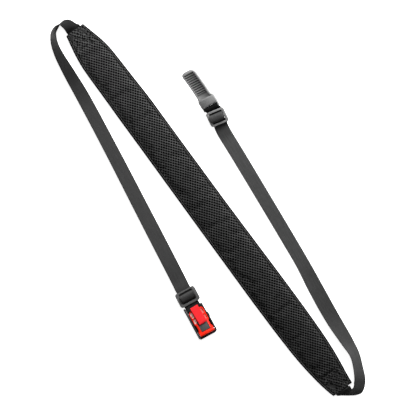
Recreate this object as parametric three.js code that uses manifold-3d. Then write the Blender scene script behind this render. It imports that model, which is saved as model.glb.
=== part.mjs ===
// Helmet carrier strap: a padded shoulder strap with a 20 mm webbing sewn into each end. The webbings turn
// back beside the pad and end in the two halves of a ratchet buckle, each one behind a tri-glide slider.
// Units are millimetres and +Z is up. The strap lies on Z = 0, with the origin under the middle of its box.

import * as THREE from 'three';
import { mergeVertices } from 'three/addons/utils/BufferGeometryUtils.js';
import Module from 'manifold-3d';

// ---- driving dimensions ----

const CLEARANCE = 0.3;

const WEBBING_WIDTH = 20;
const WEBBING_THICKNESS = 1.4;
const FLOOR_LIFT = 0.2;
const SPAN_STEP = 7;

const PAD_LENGTH = 590;
const PAD_CENTRE = { x: 0.6, y: -3 };
const PAD_HEADING = -53.4;
const PAD_EDGE_HEIGHT = 2.8;
const PAD_ROUND_STEPS = 8;
const POCKET_DEPTH = 30;
const POCKET_FLOOR = 1.9;
const POCKET_GAP = 0.3;

const SLIDER_LENGTH = 20.2;
const SLIDER_CORNER = 3.2;
const SLIDER_UNDERSIDE = 5.3;
const SLIDER_THICKNESS = 2;
const CROSS_BAR = 3.4;
const CENTRE_BAR = 3;
const SLOT_WIDTH = 20.9;
const SLOT_CORNER = 0.5;
const SLIDER_BEVEL = 0.35;

const FITTING_BAR_RADIUS = 1.3;
const FITTING_BAR_HEIGHT = 4.2;

const HOUSING_START = 15.1;
const HOUSING_LENGTH = 42.4;
const HOUSING_HALF_WIDTH = 13;
const HOUSING_CORNER = 2;
const HOUSING_STEP = 0.6;
const HOUSING_SIDE_LEAD = 2.8;
const HOUSING_WALL = 1.6;
const HOUSING_FLOOR = 1.6;
const HOUSING_BAR_AT = 18;
const CHANNEL_HEIGHT = 5.5;
const BOSS_THICKNESS = 0.9;

const PIN_RADIUS = 1.2;
const PIN_FROM_MOUTH = 4.8;
const BARREL_RADIUS = 2.3;
const LEVER_START = 18.9;
const LEVER_HALF_WIDTH = 10.4;
const LEVER_UNDERSIDE = 8;
const LEVER_TOP = 11.4;
const SHOULDER_DROP = 1.5;
const WINDOW_HALF_WIDTH = 6.4;
const WINDOW_START = 35.2;
const PLATE_TOP = 10.8;
const PLATE_THICKNESS = 2;
const PAWL_DEPTH = 3;
const PAWL_TEETH = 3;

const RIBBON_WIDTH = 11.2;
const RIBBON_THICKNESS = 0.9;
const RIBBON_START = 14.8;
const RIBBON_END = 39.8;
const RIBBON_TURN = 2.5;
const RIBBON_SHIFT = 0.9;

const TONGUE_BAR_AT = 15;
const TONGUE_ARM_START = 13.2;
const TONGUE_PLATE_START = 18.6;
const TONGUE_RIDGE_AT = 30.2;
const TONGUE_LENGTH = 56.6;
const TONGUE_UNDERSIDE = 3;
const TONGUE_CORE = 2.3;
const TONGUE_TOP = 4.2;
const TONGUE_BASE_TOP = 4.6;
const TONGUE_WIDTH = 18.8;
const TONGUE_BASE_WIDTH = 22.8;
const TONGUE_BASE_SPREAD = 0.8;
const TONGUE_ARM = 1;
const TONGUE_TIP_CORNER = 6.4;
const TONGUE_TIP_LEFT_CORNER = 5;
const TONGUE_RAIL = 1.8;
const TONGUE_BEND_START = 3;
const TONGUE_BEND_END = 20;
const LADDER_START = 20;
const TOOTH_PITCH = 3.35;
const TOOTH_COUNT = 10;

const RIGHT_ANGLE = 90;
const ROUND_SIDES = 24;

// Where each slider's centre bar stands, and how its end of the strap leans: heading of the way to the
// fitting, roll that lifts the left edge, and pitch that raises the far end, in degrees. Shifts are to the
// left: of the strap where it comes in, and of the slider, which is also turned a little on the strap.
const BUCKLE_END = {
  x: -26.8,
  y: -117.4,
  height: 1.6,
  heading: -61.6,
  roll: -6,
  pitch: 0,
  strapShift: -0.6,
  sliderShift: -0.5,
  sliderTurn: 0,
  sliderWidth: 28.4,
};
const TONGUE_END = {
  x: 13.3,
  y: 120.3,
  height: 4.2,
  heading: 120.2,
  roll: -22,
  pitch: 6,
  strapShift: 2.2,
  sliderShift: -1.1,
  sliderTurn: -5,
  sliderWidth: 26.4,
};

// The pad's pockets: which end each is at, and its shift to the left.
const UPPER_POCKET = { end: -1, shift: -0.8 };
const LOWER_POCKET = { end: 1, shift: 0 };

// Pad sections from its upper end: distance along, half width, shift to the left and crown height.
const PAD_SECTIONS = [
  { along: 0, half: 13.6, shift: 0, crown: 5.8 },
  { along: 17, half: 17.6, shift: 0.4, crown: 6.2 },
  { along: 35, half: 21.5, shift: 1, crown: 7 },
  { along: 52, half: 23, shift: 1.1, crown: 7.8 },
  { along: 92, half: 23.6, shift: 1.4, crown: 8.4 },
  { along: 130, half: 24.5, shift: 1.7, crown: 8.6 },
  { along: 180, half: 24.4, shift: 1.3, crown: 8.6 },
  { along: 300, half: 24.7, shift: 0.3, crown: 8.6 },
  { along: 425, half: 25.5, shift: 0, crown: 8.6 },
  { along: 475, half: 25.3, shift: 0, crown: 8.5 },
  { along: 514, half: 24.4, shift: 0, crown: 8.2 },
  { along: 535, half: 23.1, shift: 0.1, crown: 7.8 },
  { along: 557, half: 20.6, shift: 0.2, crown: 7 },
  { along: 568, half: 19, shift: 0.2, crown: 6.6 },
  { along: 579, half: 17.1, shift: 0.3, crown: 6.2 },
  { along: 590, half: 15, shift: 1.4, crown: 5.8 },
];

// Webbing sections from the pad towards the slider. x, y: middle of the webbing. aim: plan direction from its
// right edge to its left edge while it lies flat. roll: how far it has turned over towards the left.
const BUCKLE_RUN = [
  { x: -180.5, y: 237.8, aim: 215.6, roll: 31 },
  { x: -185.9, y: 241.9, aim: 227, roll: 45 },
  { x: -190.2, y: 243.2, aim: 233, roll: 59 },
  { x: -192.9, y: 242.7, aim: 237, roll: 72 },
  { x: -195.3, y: 240.9, aim: 222, roll: 83 },
  { x: -199.5, y: 236.5, aim: 330, roll: 102 },
  { x: -202.7, y: 230.6, aim: 349, roll: 106 },
  { x: -203, y: 225.3, aim: 360, roll: 111 },
  { x: -201.2, y: 214.8, aim: 373, roll: 116 },
  { x: -195.9, y: 201.6, aim: 383, roll: 124 },
  { x: -182.8, y: 177.9, aim: 389, roll: 138 },
  { x: -164.5, y: 146.3, aim: 389, roll: 150 },
  { x: -126.6, y: 75.3, aim: 388, roll: 156 },
  { x: -85.8, y: -3.7, aim: 387, roll: 165 },
  { x: -65.4, y: -43.2, aim: 387, roll: 171 },
  { x: -45.1, y: -82.6, aim: 387.5, roll: 173 },
  { x: -37.1, y: -98.4, aim: 388.4, roll: 174 },
];
const TONGUE_RUN = [
  { x: 181, y: -240.6, aim: 51, roll: 32 },
  { x: 184.7, y: -241.4, aim: 64, roll: 50 },
  { x: 188.5, y: -242.5, aim: 86, roll: 64 },
  { x: 192.4, y: -241.9, aim: 115, roll: 60 },
  { x: 197.4, y: -238.8, aim: 143, roll: 46 },
  { x: 199.5, y: -231.7, aim: 167, roll: 42 },
  { x: 199.9, y: -224.8, aim: 183, roll: 43.5 },
  { x: 197.4, y: -209, aim: 191, roll: 50 },
  { x: 193.1, y: -193.2, aim: 198, roll: 49 },
  { x: 184, y: -177.4, aim: 210, roll: 36 },
  { x: 164.2, y: -145.8, aim: 211, roll: 12 },
  { x: 142.1, y: -106.3, aim: 209, roll: -8 },
  { x: 125.4, y: -74.7, aim: 208, roll: -25 },
  { x: 107, y: -43.2, aim: 210, roll: -26 },
  { x: 59.9, y: 35.8, aim: 211, roll: -25 },
  { x: 36.1, y: 75.3, aim: 209, roll: -24 },
  { x: 21.7, y: 98.8, aim: 209.5, roll: -22 },
];

// The webbing's middle line at the slider, in the end's own frame: over the centre bar to the fitting's bar,
// back beneath, round the centre bar and a sewn tail. s: distance from the centre bar. z: height.
const SLIDER_CROSSING = [
  { s: -14, z: 2.6 },
  { s: -9.4, z: 3.8 },
  { s: -7.5, z: 3.9 },
  { s: -6.2, z: 4.4 },
  { s: -5.3, z: 5.6 },
  { s: -4.8, z: 7 },
  { s: -4.2, z: 8.5 },
  { s: -3.2, z: 9.6 },
  { s: -1.8, z: 10.1 },
  { s: 0, z: 10.2 },
  { s: 1.8, z: 10.1 },
  { s: 3.2, z: 9.6 },
  { s: 4.2, z: 8.5 },
  { s: 4.8, z: 7 },
  { s: 5.3, z: 5.6 },
  { s: 6.3, z: 4.4 },
  { s: 7.6, z: 4 },
  { s: 10.4, z: 4.05 },
];
const SEWN_LOOP = [
  { s: 8, z: 0.7 },
  { s: 3, z: 0.7 },
  { s: -0.6, z: 0.7 },
  { s: -2, z: 1.3 },
  { s: -2.5, z: 2.6 },
  { s: -2.55, z: 5 },
  { s: -2.55, z: 7.2 },
  { s: -2.2, z: 8.05 },
  { s: -1.3, z: 8.35 },
  { s: 1.3, z: 8.35 },
  { s: 2.2, z: 8.05 },
  { s: 2.55, z: 7.2 },
  { s: 2.55, z: 5 },
  { s: 2.55, z: 4.2 },
  { s: 2.9, z: 3 },
  { s: 4.2, z: 2.45 },
  { s: 7, z: 2.4 },
  { s: 10.4, z: 2.4 },
];

const COLOURS = {
  padMesh: 0x343434,
  webbing: 0x3c3c3c,
  paleWebbing: 0x505050,
  darkSlider: 0x606060,
  paleSlider: 0x8a8a8a,
  tonguePlastic: 0x808080,
  housingPlastic: 0x161817,
  steel: 0x8d9091,
  leverPlastic: 0xf23a2c,
  latchGrey: 0x505352,
  ribbonRed: 0xf32c33,
};

const wasm = await Module();
wasm.setup();

// ---- helpers ----

function finish(colour, roughness, metalness) {
  return new THREE.MeshStandardMaterial({ color: colour, roughness, metalness });
}

function named(name, geometry, material) {
  const mesh = new THREE.Mesh(geometry, material);
  mesh.name = name;
  return mesh;
}

function radians(degrees) {
  return THREE.MathUtils.degToRad(degrees);
}

function weld(geometry) {
  const bare = geometry.index ? geometry.toNonIndexed() : geometry.clone();
  bare.deleteAttribute('normal');
  bare.deleteAttribute('uv');
  return mergeVertices(bare, 1e-4);
}

function toSolid(geometry) {
  const welded = weld(geometry);
  const vertProperties = new Float32Array(welded.attributes.position.array);
  const triVerts = new Uint32Array(welded.index.array);
  return new wasm.Manifold(new wasm.Mesh({ numProp: 3, vertProperties, triVerts }));
}

function toGeometry(solid) {
  const mesh = solid.getMesh();
  const geometry = new THREE.BufferGeometry();
  geometry.setAttribute('position', new THREE.BufferAttribute(new Float32Array(mesh.vertProperties), 3));
  geometry.setIndex(new THREE.BufferAttribute(new Uint32Array(mesh.triVerts), 1));
  geometry.computeVertexNormals();
  return geometry;
}

function block(from, to) {
  const size = to.map((value, axis) => value - from[axis]);
  const middle = to.map((value, axis) => (value + from[axis]) / 2);
  return toSolid(new THREE.BoxGeometry(...size).translate(...middle));
}

// Round bar along the across direction (local Y).
function crossBar(s, z, radius, halfLength) {
  const geometry = new THREE.CylinderGeometry(radius, radius, 2 * halfLength, ROUND_SIDES);
  return toSolid(geometry.translate(s, 0, z));
}

function polygon(points) {
  return new THREE.Shape(points.map(([x, y]) => new THREE.Vector2(x, y)));
}

// Side outline in distance and height, pushed across from one side to the other.
function sideSlab(points, fromAcross, toAcross) {
  const depth = toAcross - fromAcross;
  const geometry = new THREE.ExtrudeGeometry(polygon(points), { depth, bevelEnabled: false });
  geometry.rotateX(radians(RIGHT_ANGLE));
  geometry.translate(0, toAcross, 0);
  return toSolid(geometry);
}

// Outline in across and height, pushed along the way to the fitting.
function endSlab(points, fromAlong, toAlong) {
  const depth = toAlong - fromAlong;
  const geometry = new THREE.ExtrudeGeometry(polygon(points), { depth, bevelEnabled: false });
  const turn = new THREE.Matrix4().makeBasis(
    new THREE.Vector3(0, 1, 0),
    new THREE.Vector3(0, 0, 1),
    new THREE.Vector3(1, 0, 0),
  );
  geometry.applyMatrix4(turn);
  geometry.translate(fromAlong, 0, 0);
  return toSolid(geometry);
}

function planSlab(shape, fromHeight, toHeight) {
  const depth = toHeight - fromHeight;
  const geometry = new THREE.ExtrudeGeometry(shape, { depth, bevelEnabled: false, curveSegments: 5 });
  return toSolid(geometry.translate(0, 0, fromHeight));
}

function roundedRectangle(fromX, toX, fromY, toY, corner, Kind = THREE.Shape) {
  const outline = new Kind();
  outline.moveTo(fromX + corner, fromY);
  outline.lineTo(toX - corner, fromY);
  outline.absarc(toX - corner, fromY + corner, corner, -Math.PI / 2, 0);
  outline.lineTo(toX, toY - corner);
  outline.absarc(toX - corner, toY - corner, corner, 0, Math.PI / 2);
  outline.lineTo(fromX + corner, toY);
  outline.absarc(fromX + corner, toY - corner, corner, Math.PI / 2, Math.PI);
  outline.lineTo(fromX, fromY + corner);
  outline.absarc(fromX + corner, fromY + corner, corner, Math.PI, 1.5 * Math.PI);
  return outline;
}

// A group whose local X runs to the fitting, Y to the left and Z up.
function endGroup(end) {
  const group = new THREE.Group();
  group.position.set(end.x, end.y, end.height);
  group.rotation.set(radians(end.roll), radians(-end.pitch), radians(end.heading), 'ZYX');
  group.updateMatrix();
  return group;
}

// Closed skin over rings of the same number of points, with flat ends.
function skinOver(rings) {
  const count = rings[0].length;
  const positions = rings.flat().flatMap((point) => [point.x, point.y, point.z]);
  const index = [];
  for (let ring = 0; ring + 1 < rings.length; ring += 1) {
    for (let side = 0; side < count; side += 1) {
      const a = ring * count + side;
      const b = ring * count + ((side + 1) % count);
      index.push(a, b, b + count, a, b + count, a + count);
    }
  }
  const last = (rings.length - 1) * count;
  for (let side = 1; side + 1 < count; side += 1) {
    index.push(0, side + 1, side, last, last + side, last + side + 1);
  }
  const geometry = new THREE.BufferGeometry();
  geometry.setAttribute('position', new THREE.BufferAttribute(new Float32Array(positions), 3));
  geometry.setIndex(index);
  geometry.computeVertexNormals();
  return geometry;
}

// ---- webbing ----

// Strip of woven tape along stations { point, across }, of one width and thickness.
function tape(stations, width, thickness, spanStep) {
  const points = stations.map((station) => station.point);
  const middle = new THREE.CatmullRomCurve3(points, false, 'centripetal');
  const edges = stations.map((station) => station.across);
  const acrossLine = new THREE.CatmullRomCurve3(edges, false, 'catmullrom', 0.5);
  const samples = [];
  for (let span = 0; span + 1 < points.length; span += 1) {
    const steps = Math.max(2, Math.round(points[span].distanceTo(points[span + 1]) / spanStep));
    for (let step = 0; step < steps; step += 1) {
      samples.push((span + step / steps) / (points.length - 1));
    }
  }
  samples.push(1);
  const rings = samples.map((at) => {
    const centre = middle.getPoint(at);
    const along = middle.getTangent(at);
    const across = acrossLine.getPoint(at);
    across.setLength(width / 2);
    const up = along.clone().cross(across).setLength(thickness / 2);
    return [
      centre.clone().sub(across).sub(up),
      centre.clone().add(across).sub(up),
      centre.clone().add(across).add(up),
      centre.clone().sub(across).add(up),
    ];
  });
  return skinOver(rings);
}

function leaningStation({ x, y, aim, roll }) {
  const turn = radians(roll);
  const lowEdge = Math.abs(Math.sin(turn)) * WEBBING_WIDTH / 2;
  const skin = Math.abs(Math.cos(turn)) * WEBBING_THICKNESS / 2;
  return {
    point: new THREE.Vector3(x, y, FLOOR_LIFT + lowEdge + skin),
    across: new THREE.Vector3(
      Math.cos(radians(aim)) * Math.cos(turn),
      Math.sin(radians(aim)) * Math.cos(turn),
      Math.sin(turn),
    ),
  };
}

// Stations inside a pad end's pocket, up to its mouth.
function pocketStations({ end, shift }) {
  const heading = radians(PAD_HEADING);
  const height = POCKET_FLOOR + POCKET_GAP + WEBBING_THICKNESS / 2;
  const across = new THREE.Vector3(-end * Math.sin(heading), end * Math.cos(heading), 0);
  return [POCKET_DEPTH - POCKET_GAP, POCKET_DEPTH / 2, -0.6, -1.6].map((distance) => {
    const along = end * (PAD_LENGTH / 2 - distance);
    const point = new THREE.Vector3(
      PAD_CENTRE.x + along * Math.cos(heading) - shift * Math.sin(heading),
      PAD_CENTRE.y + along * Math.sin(heading) + shift * Math.cos(heading),
      height,
    );
    return { point, across };
  });
}

// Over the fitting's bar and back beneath it.
function barWrap(barAt) {
  const radius = FITTING_BAR_RADIUS + CLEARANCE + 0.1 + WEBBING_THICKNESS / 2;
  const rows = [{ s: barAt - 1.6, z: FITTING_BAR_HEIGHT + radius - 0.2 }];
  for (let angle = RIGHT_ANGLE; angle >= -RIGHT_ANGLE; angle -= RIGHT_ANGLE / 2) {
    const s = barAt + radius * Math.cos(radians(angle));
    const z = FITTING_BAR_HEIGHT + radius * Math.sin(radians(angle));
    rows.push({ s, z });
  }
  rows.push({ s: barAt - 2.2, z: 1.45 });
  rows.push({ s: barAt - 4.4, z: 0.95 });
  return rows;
}

// How far a place along the strap follows the slider: wholly inside its slots, not at all at the fitting.
function sliderHold(s) {
  return 1 - THREE.MathUtils.smoothstep(Math.abs(s), 7.2, s < 0 ? 14 : 12.5);
}

// Stations past the slider. The strap comes in shifted, turns with the slider where it goes through it, and
// is in line with the fitting at the fitting's bar.
function fittingStations(end, rows, side) {
  const matrix = endGroup(end).matrix;
  return rows.map(({ s, z }) => {
    const hold = sliderHold(s);
    const turn = radians(end.sliderTurn);
    const shift = end.sliderShift + s * Math.sin(turn);
    const sideways = THREE.MathUtils.lerp(s < 0 ? end.strapShift : 0, shift, hold);
    const point = new THREE.Vector3(s, sideways, z).applyMatrix4(matrix);
    const across = new THREE.Vector3(-Math.sin(turn * hold), Math.cos(turn * hold), 0);
    return { point, across: across.multiplyScalar(side).transformDirection(matrix) };
  });
}

function webbing(name, { pocket, run, end, barAt, side }, colour) {
  const stations = [
    ...pocketStations(pocket),
    ...run.map(leaningStation),
    ...fittingStations(end, [...SLIDER_CROSSING, ...barWrap(barAt), ...SEWN_LOOP], side),
  ];
  const geometry = tape(stations, WEBBING_WIDTH, WEBBING_THICKNESS, SPAN_STEP);
  return named(name, geometry, finish(colour, 0.85, 0));
}

// ---- shoulder pad ----

function padRing(section) {
  const { along, half, shift, crown } = section;
  const bottomHalf = half - 1.2;
  const outline = [[-bottomHalf, 0], [bottomHalf, 0], [half, 1.2]];
  for (let step = 0; step <= PAD_ROUND_STEPS; step += 1) {
    const across = Math.cos(Math.PI * step / PAD_ROUND_STEPS);
    const bulge = Math.sqrt(Math.max(0, 1 - Math.abs(across) ** 3));
    outline.push([half * across, PAD_EDGE_HEIGHT + (crown - PAD_EDGE_HEIGHT) * bulge]);
  }
  outline.push([-half, 1.2]);
  return outline.map(([y, z]) => new THREE.Vector3(along - PAD_LENGTH / 2, y + shift, z));
}

function padSectionAt(row, share) {
  const from = PAD_SECTIONS[row];
  const to = PAD_SECTIONS[row + 1];
  const mix = (key) => from[key] + (to[key] - from[key]) * share;
  return { along: mix('along'), half: mix('half'), shift: mix('shift'), crown: mix('crown') };
}

function shoulderPad() {
  const rings = [];
  for (let row = 0; row + 1 < PAD_SECTIONS.length; row += 1) {
    rings.push(padRing(PAD_SECTIONS[row]));
    const isLongSpan = PAD_SECTIONS[row + 1].along - PAD_SECTIONS[row].along > 60;
    if (isLongSpan) {
      rings.push(padRing(padSectionAt(row, 0.5)));
    }
  }
  rings.push(padRing(PAD_SECTIONS[PAD_SECTIONS.length - 1]));
  let body = toSolid(skinOver(rings));
  const half = WEBBING_WIDTH / 2 + POCKET_GAP;
  const roof = POCKET_FLOOR + WEBBING_THICKNESS + 2 * POCKET_GAP;
  for (const { end, shift } of [UPPER_POCKET, LOWER_POCKET]) {
    const mouth = end * (PAD_LENGTH / 2 + 1);
    const bottom = end * (PAD_LENGTH / 2 - POCKET_DEPTH);
    const pocket = block(
      [Math.min(mouth, bottom), shift - half, POCKET_FLOOR],
      [Math.max(mouth, bottom), shift + half, roof],
    );
    body = body.subtract(pocket);
  }
  const mesh = named('shoulder_pad', toGeometry(body), finish(COLOURS.padMesh, 0.95, 0));
  mesh.position.set(PAD_CENTRE.x, PAD_CENTRE.y, 0);
  mesh.rotation.z = radians(PAD_HEADING);
  return mesh;
}

// ---- tri-glide slider ----

function slider(name, end, colour) {
  const halfLength = SLIDER_LENGTH / 2 - SLIDER_BEVEL;
  const halfWidth = end.sliderWidth / 2 - SLIDER_BEVEL;
  const corner = SLIDER_CORNER - SLIDER_BEVEL;
  const outline = roundedRectangle(-halfLength, halfLength, -halfWidth, halfWidth, corner);
  const slotFrom = CENTRE_BAR / 2 + SLIDER_BEVEL;
  const slotTo = SLIDER_LENGTH / 2 - CROSS_BAR + SLIDER_BEVEL;
  const slotHalf = SLOT_WIDTH / 2 + SLIDER_BEVEL;
  for (const side of [-1, 1]) {
    const from = Math.min(side * slotFrom, side * slotTo);
    const to = Math.max(side * slotFrom, side * slotTo);
    outline.holes.push(
      roundedRectangle(from - SLIDER_BEVEL * (side > 0 ? 2 : 0), to + SLIDER_BEVEL * (side > 0 ? 0 : 2),
        -slotHalf, slotHalf, SLOT_CORNER, THREE.Path),
    );
  }
  const geometry = new THREE.ExtrudeGeometry(outline, {
    depth: SLIDER_THICKNESS - 2 * SLIDER_BEVEL,
    bevelEnabled: true,
    bevelThickness: SLIDER_BEVEL,
    bevelSize: SLIDER_BEVEL,
    bevelSegments: 1,
    curveSegments: 3,
  });
  geometry.translate(0, 0, SLIDER_UNDERSIDE + SLIDER_BEVEL);
  geometry.rotateZ(radians(end.sliderTurn));
  geometry.translate(0, end.sliderShift, 0);
  return named(name, toGeometry(toSolid(geometry)), finish(colour, 0.45, 0));
}

// ---- buckle ----

const HOUSING_END = HOUSING_START + HOUSING_LENGTH;
const PIN_AT = HOUSING_END - PIN_FROM_MOUTH;
const PIN_HEIGHT = HOUSING_FLOOR + CHANNEL_HEIGHT + BARREL_RADIUS;

// Side wall; the right one (side -1) leads the left one a little towards the slider.
function housingWall(side) {
  const inner = HOUSING_HALF_WIDTH - HOUSING_WALL;
  const wallTop = 10;
  const start = side < 0 ? HOUSING_START - HOUSING_SIDE_LEAD : HOUSING_START;
  const outline = [
    [start, 1.6],
    [start + 1.6, 0],
    [HOUSING_END - 1, 0],
    [HOUSING_END, 1],
    [HOUSING_END, 3.2],
    [HOUSING_END - 2, PIN_HEIGHT],
    [HOUSING_END - 3.2, PIN_HEIGHT + 1.7],
    [HOUSING_END - 6.6, PIN_HEIGHT + 1.7],
    [HOUSING_END - 10.5, wallTop - 0.8],
    [HOUSING_START + 22, wallTop],
    [HOUSING_START + 10, wallTop - 0.6],
    [start + 3, 7.6],
    [start, 6],
  ];
  const from = side > 0 ? inner : -HOUSING_HALF_WIDTH;
  return sideSlab(outline, from, from + HOUSING_WALL);
}

function housingBoss() {
  const outline = [
    [HOUSING_START + 14, 2.4],
    [HOUSING_START + 21, 2.4],
    [HOUSING_START + 20, 8.4],
    [HOUSING_START + 15, 8.4],
  ];
  return sideSlab(outline, HOUSING_HALF_WIDTH - HOUSING_STEP - 0.4, HOUSING_HALF_WIDTH + BOSS_THICKNESS);
}

// The left side steps out a little behind its boss and runs to a point, and both front corners are cut.
function housingPlan() {
  const front = HOUSING_END + 0.6;
  const half = HOUSING_HALF_WIDTH;
  return polygon([
    [0, -half],
    [front - HOUSING_CORNER, -half],
    [front, HOUSING_CORNER - half],
    [front, half - 1.6 * HOUSING_CORNER],
    [front - 1.2, half],
    [HOUSING_START + 20, half],
    [HOUSING_START + 14, half - HOUSING_STEP],
    [0, half - HOUSING_STEP],
  ]);
}

function buckleHousing() {
  const floorStart = HOUSING_BAR_AT + 4.1;
  const lip = 2.6;
  let body = block(
    [floorStart, -HOUSING_HALF_WIDTH, 0],
    [HOUSING_END, HOUSING_HALF_WIDTH, HOUSING_FLOOR],
  );
  const lipOutline = [
    [HOUSING_END - lip, 0],
    [HOUSING_END + 0.6, 0],
    [HOUSING_END + 0.6, 1.4],
    [HOUSING_END - 0.4, HOUSING_FLOOR + 0.5],
    [HOUSING_END - lip, HOUSING_FLOOR + 0.1],
  ];
  body = body.add(sideSlab(lipOutline, -HOUSING_HALF_WIDTH, HOUSING_HALF_WIDTH));
  body = body.add(housingWall(-1));
  body = body.add(housingWall(1));
  body = body.intersect(planSlab(housingPlan(), -1, 20)).add(housingBoss());
  const barHalf = HOUSING_HALF_WIDTH - HOUSING_WALL / 2;
  body = body.add(crossBar(HOUSING_BAR_AT, FITTING_BAR_HEIGHT, FITTING_BAR_RADIUS, barHalf));
  const guideHalf = HOUSING_HALF_WIDTH - HOUSING_WALL;
  for (const side of [-1, 1]) {
    const inside = side * (guideHalf - 0.7);
    const outside = side * (guideHalf + 0.2);
    body = body.add(block(
      [floorStart + 1, Math.min(inside, outside), HOUSING_FLOOR - 0.2],
      [HOUSING_END - lip - 1, Math.max(inside, outside), HOUSING_FLOOR + 1.2],
    ));
  }
  // Cheeks inside the side walls keep the webbing in line with its bar.
  const cheekInner = WEBBING_WIDTH / 2 + CLEARANCE + 0.1;
  const cheekOuter = guideHalf + 0.2;
  for (const side of [-1, 1]) {
    const start = side < 0 ? HOUSING_START - HOUSING_SIDE_LEAD + 1 : HOUSING_START;
    const low = side < 0 ? -cheekOuter : cheekInner;
    const high = side < 0 ? -cheekInner : cheekOuter;
    body = body.add(block([start, low, 0.8], [floorStart + 1.2, high, 7]));
  }
  const pinHole = crossBar(PIN_AT, PIN_HEIGHT, PIN_RADIUS + CLEARANCE, HOUSING_HALF_WIDTH + 2);
  body = body.subtract(pinHole);
  return named('buckle_housing', toGeometry(body), finish(COLOURS.housingPlastic, 0.4, 0));
}

function leverPivotPin() {
  const halfLength = HOUSING_HALF_WIDTH - 0.1;
  const pin = crossBar(PIN_AT, PIN_HEIGHT, PIN_RADIUS, halfLength);
  return named('lever_pivot_pin', toGeometry(pin), finish(COLOURS.steel, 0.3, 1));
}

function leverOutline() {
  const waist = LEVER_HALF_WIDTH - 1.4;
  const corner = 4;
  const noseEnd = PIN_AT + BARREL_RADIUS + 1;
  const shape = new THREE.Shape();
  shape.moveTo(LEVER_START + corner, -LEVER_HALF_WIDTH);
  shape.lineTo(37.5, -LEVER_HALF_WIDTH);
  shape.lineTo(39.5, -waist);
  shape.lineTo(46, -waist);
  shape.lineTo(48.5, -LEVER_HALF_WIDTH);
  shape.lineTo(noseEnd, -LEVER_HALF_WIDTH);
  shape.lineTo(noseEnd, LEVER_HALF_WIDTH);
  shape.lineTo(48.5, LEVER_HALF_WIDTH);
  shape.lineTo(46, waist);
  shape.lineTo(39.5, waist);
  shape.lineTo(37.5, LEVER_HALF_WIDTH);
  shape.lineTo(LEVER_START + corner, LEVER_HALF_WIDTH);
  shape.absarc(LEVER_START + corner, LEVER_HALF_WIDTH - corner, corner, Math.PI / 2, Math.PI);
  shape.absarc(LEVER_START + corner, corner - LEVER_HALF_WIDTH, corner, Math.PI, 1.5 * Math.PI);
  return shape;
}

// Hollow in a shoulder, between two cross ribs, with a floor that falls to the outside.
function shoulderPocket(side, fromAlong, toAlong) {
  const points = [
    [side * 6, LEVER_TOP - 0.9],
    [side * 6, LEVER_TOP + 1],
    [side * 9.3, LEVER_TOP + 1],
    [side * 9.3, LEVER_TOP - 2.3],
  ];
  return endSlab(side > 0 ? points.reverse() : points, fromAlong, toAlong);
}

function releaseLever() {
  const side = [
    [LEVER_START, LEVER_UNDERSIDE + 0.8],
    [LEVER_START + 1.2, LEVER_UNDERSIDE],
    [PIN_AT - BARREL_RADIUS * 0.6, LEVER_UNDERSIDE],
    [PIN_AT, PIN_HEIGHT],
    [PIN_AT - BARREL_RADIUS * 0.2, LEVER_TOP],
    [LEVER_START + 1.4, LEVER_TOP],
    [LEVER_START, LEVER_TOP - 1],
  ];
  let body = sideSlab(side, -LEVER_HALF_WIDTH, LEVER_HALF_WIDTH);
  body = body.add(crossBar(PIN_AT, PIN_HEIGHT, BARREL_RADIUS, LEVER_HALF_WIDTH));
  body = body.intersect(planSlab(leverOutline(), 0, 20));
  const windowEnd = PIN_AT - BARREL_RADIUS - 0.3;
  body = body.subtract(block(
    [WINDOW_START, -WINDOW_HALF_WIDTH, LEVER_UNDERSIDE - 2],
    [windowEnd, WINDOW_HALF_WIDTH, LEVER_TOP + 2],
  ));
  for (const sign of [-1, 1]) {
    const slope = [
      [sign * 6.2, LEVER_TOP + 0.6],
      [sign * (LEVER_HALF_WIDTH + 1), LEVER_TOP + 0.6],
      [sign * (LEVER_HALF_WIDTH + 1), LEVER_TOP - SHOULDER_DROP],
      [sign * 6.2, LEVER_TOP],
    ];
    const outline = sign > 0 ? slope.reverse() : slope;
    body = body.subtract(endSlab(outline, LEVER_START - 1, PIN_AT - BARREL_RADIUS - 1));
    body = body.subtract(shoulderPocket(sign, LEVER_START + 2, LEVER_START + 9.4));
    body = body.subtract(shoulderPocket(sign, LEVER_START + 11.2, LEVER_START + 17.6));
  }
  body = body.subtract(crossBar(PIN_AT, PIN_HEIGHT, PIN_RADIUS + CLEARANCE, HOUSING_HALF_WIDTH));
  return named('release_lever', toGeometry(body), finish(COLOURS.leverPlastic, 0.25, 0));
}

function latchPlate() {
  const from = WINDOW_START + CLEARANCE;
  const to = PIN_AT - BARREL_RADIUS - 0.3 - CLEARANCE;
  const underside = PLATE_TOP - PLATE_THICKNESS;
  const outline = [
    [from, PLATE_TOP - 0.4],
    [from + 0.4, PLATE_TOP],
    [to - 0.4, PLATE_TOP],
    [to, PLATE_TOP - 0.4],
  ];
  outline.push([to, underside]);
  for (let tooth = 0; tooth < PAWL_TEETH; tooth += 1) {
    const root = to - 1 - tooth * TOOTH_PITCH;
    outline.push([root, underside]);
    outline.push([root - 0.4, underside - PAWL_DEPTH]);
    outline.push([root - 1, underside - PAWL_DEPTH]);
    outline.push([root - TOOTH_PITCH + 0.6, underside - 0.2]);
  }
  outline.push([from, underside]);
  const half = WINDOW_HALF_WIDTH - CLEARANCE;
  const plate = sideSlab(outline.reverse(), -half, half);
  return named('latch_plate', toGeometry(plate), finish(COLOURS.latchGrey, 0.5, 0.3));
}

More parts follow.
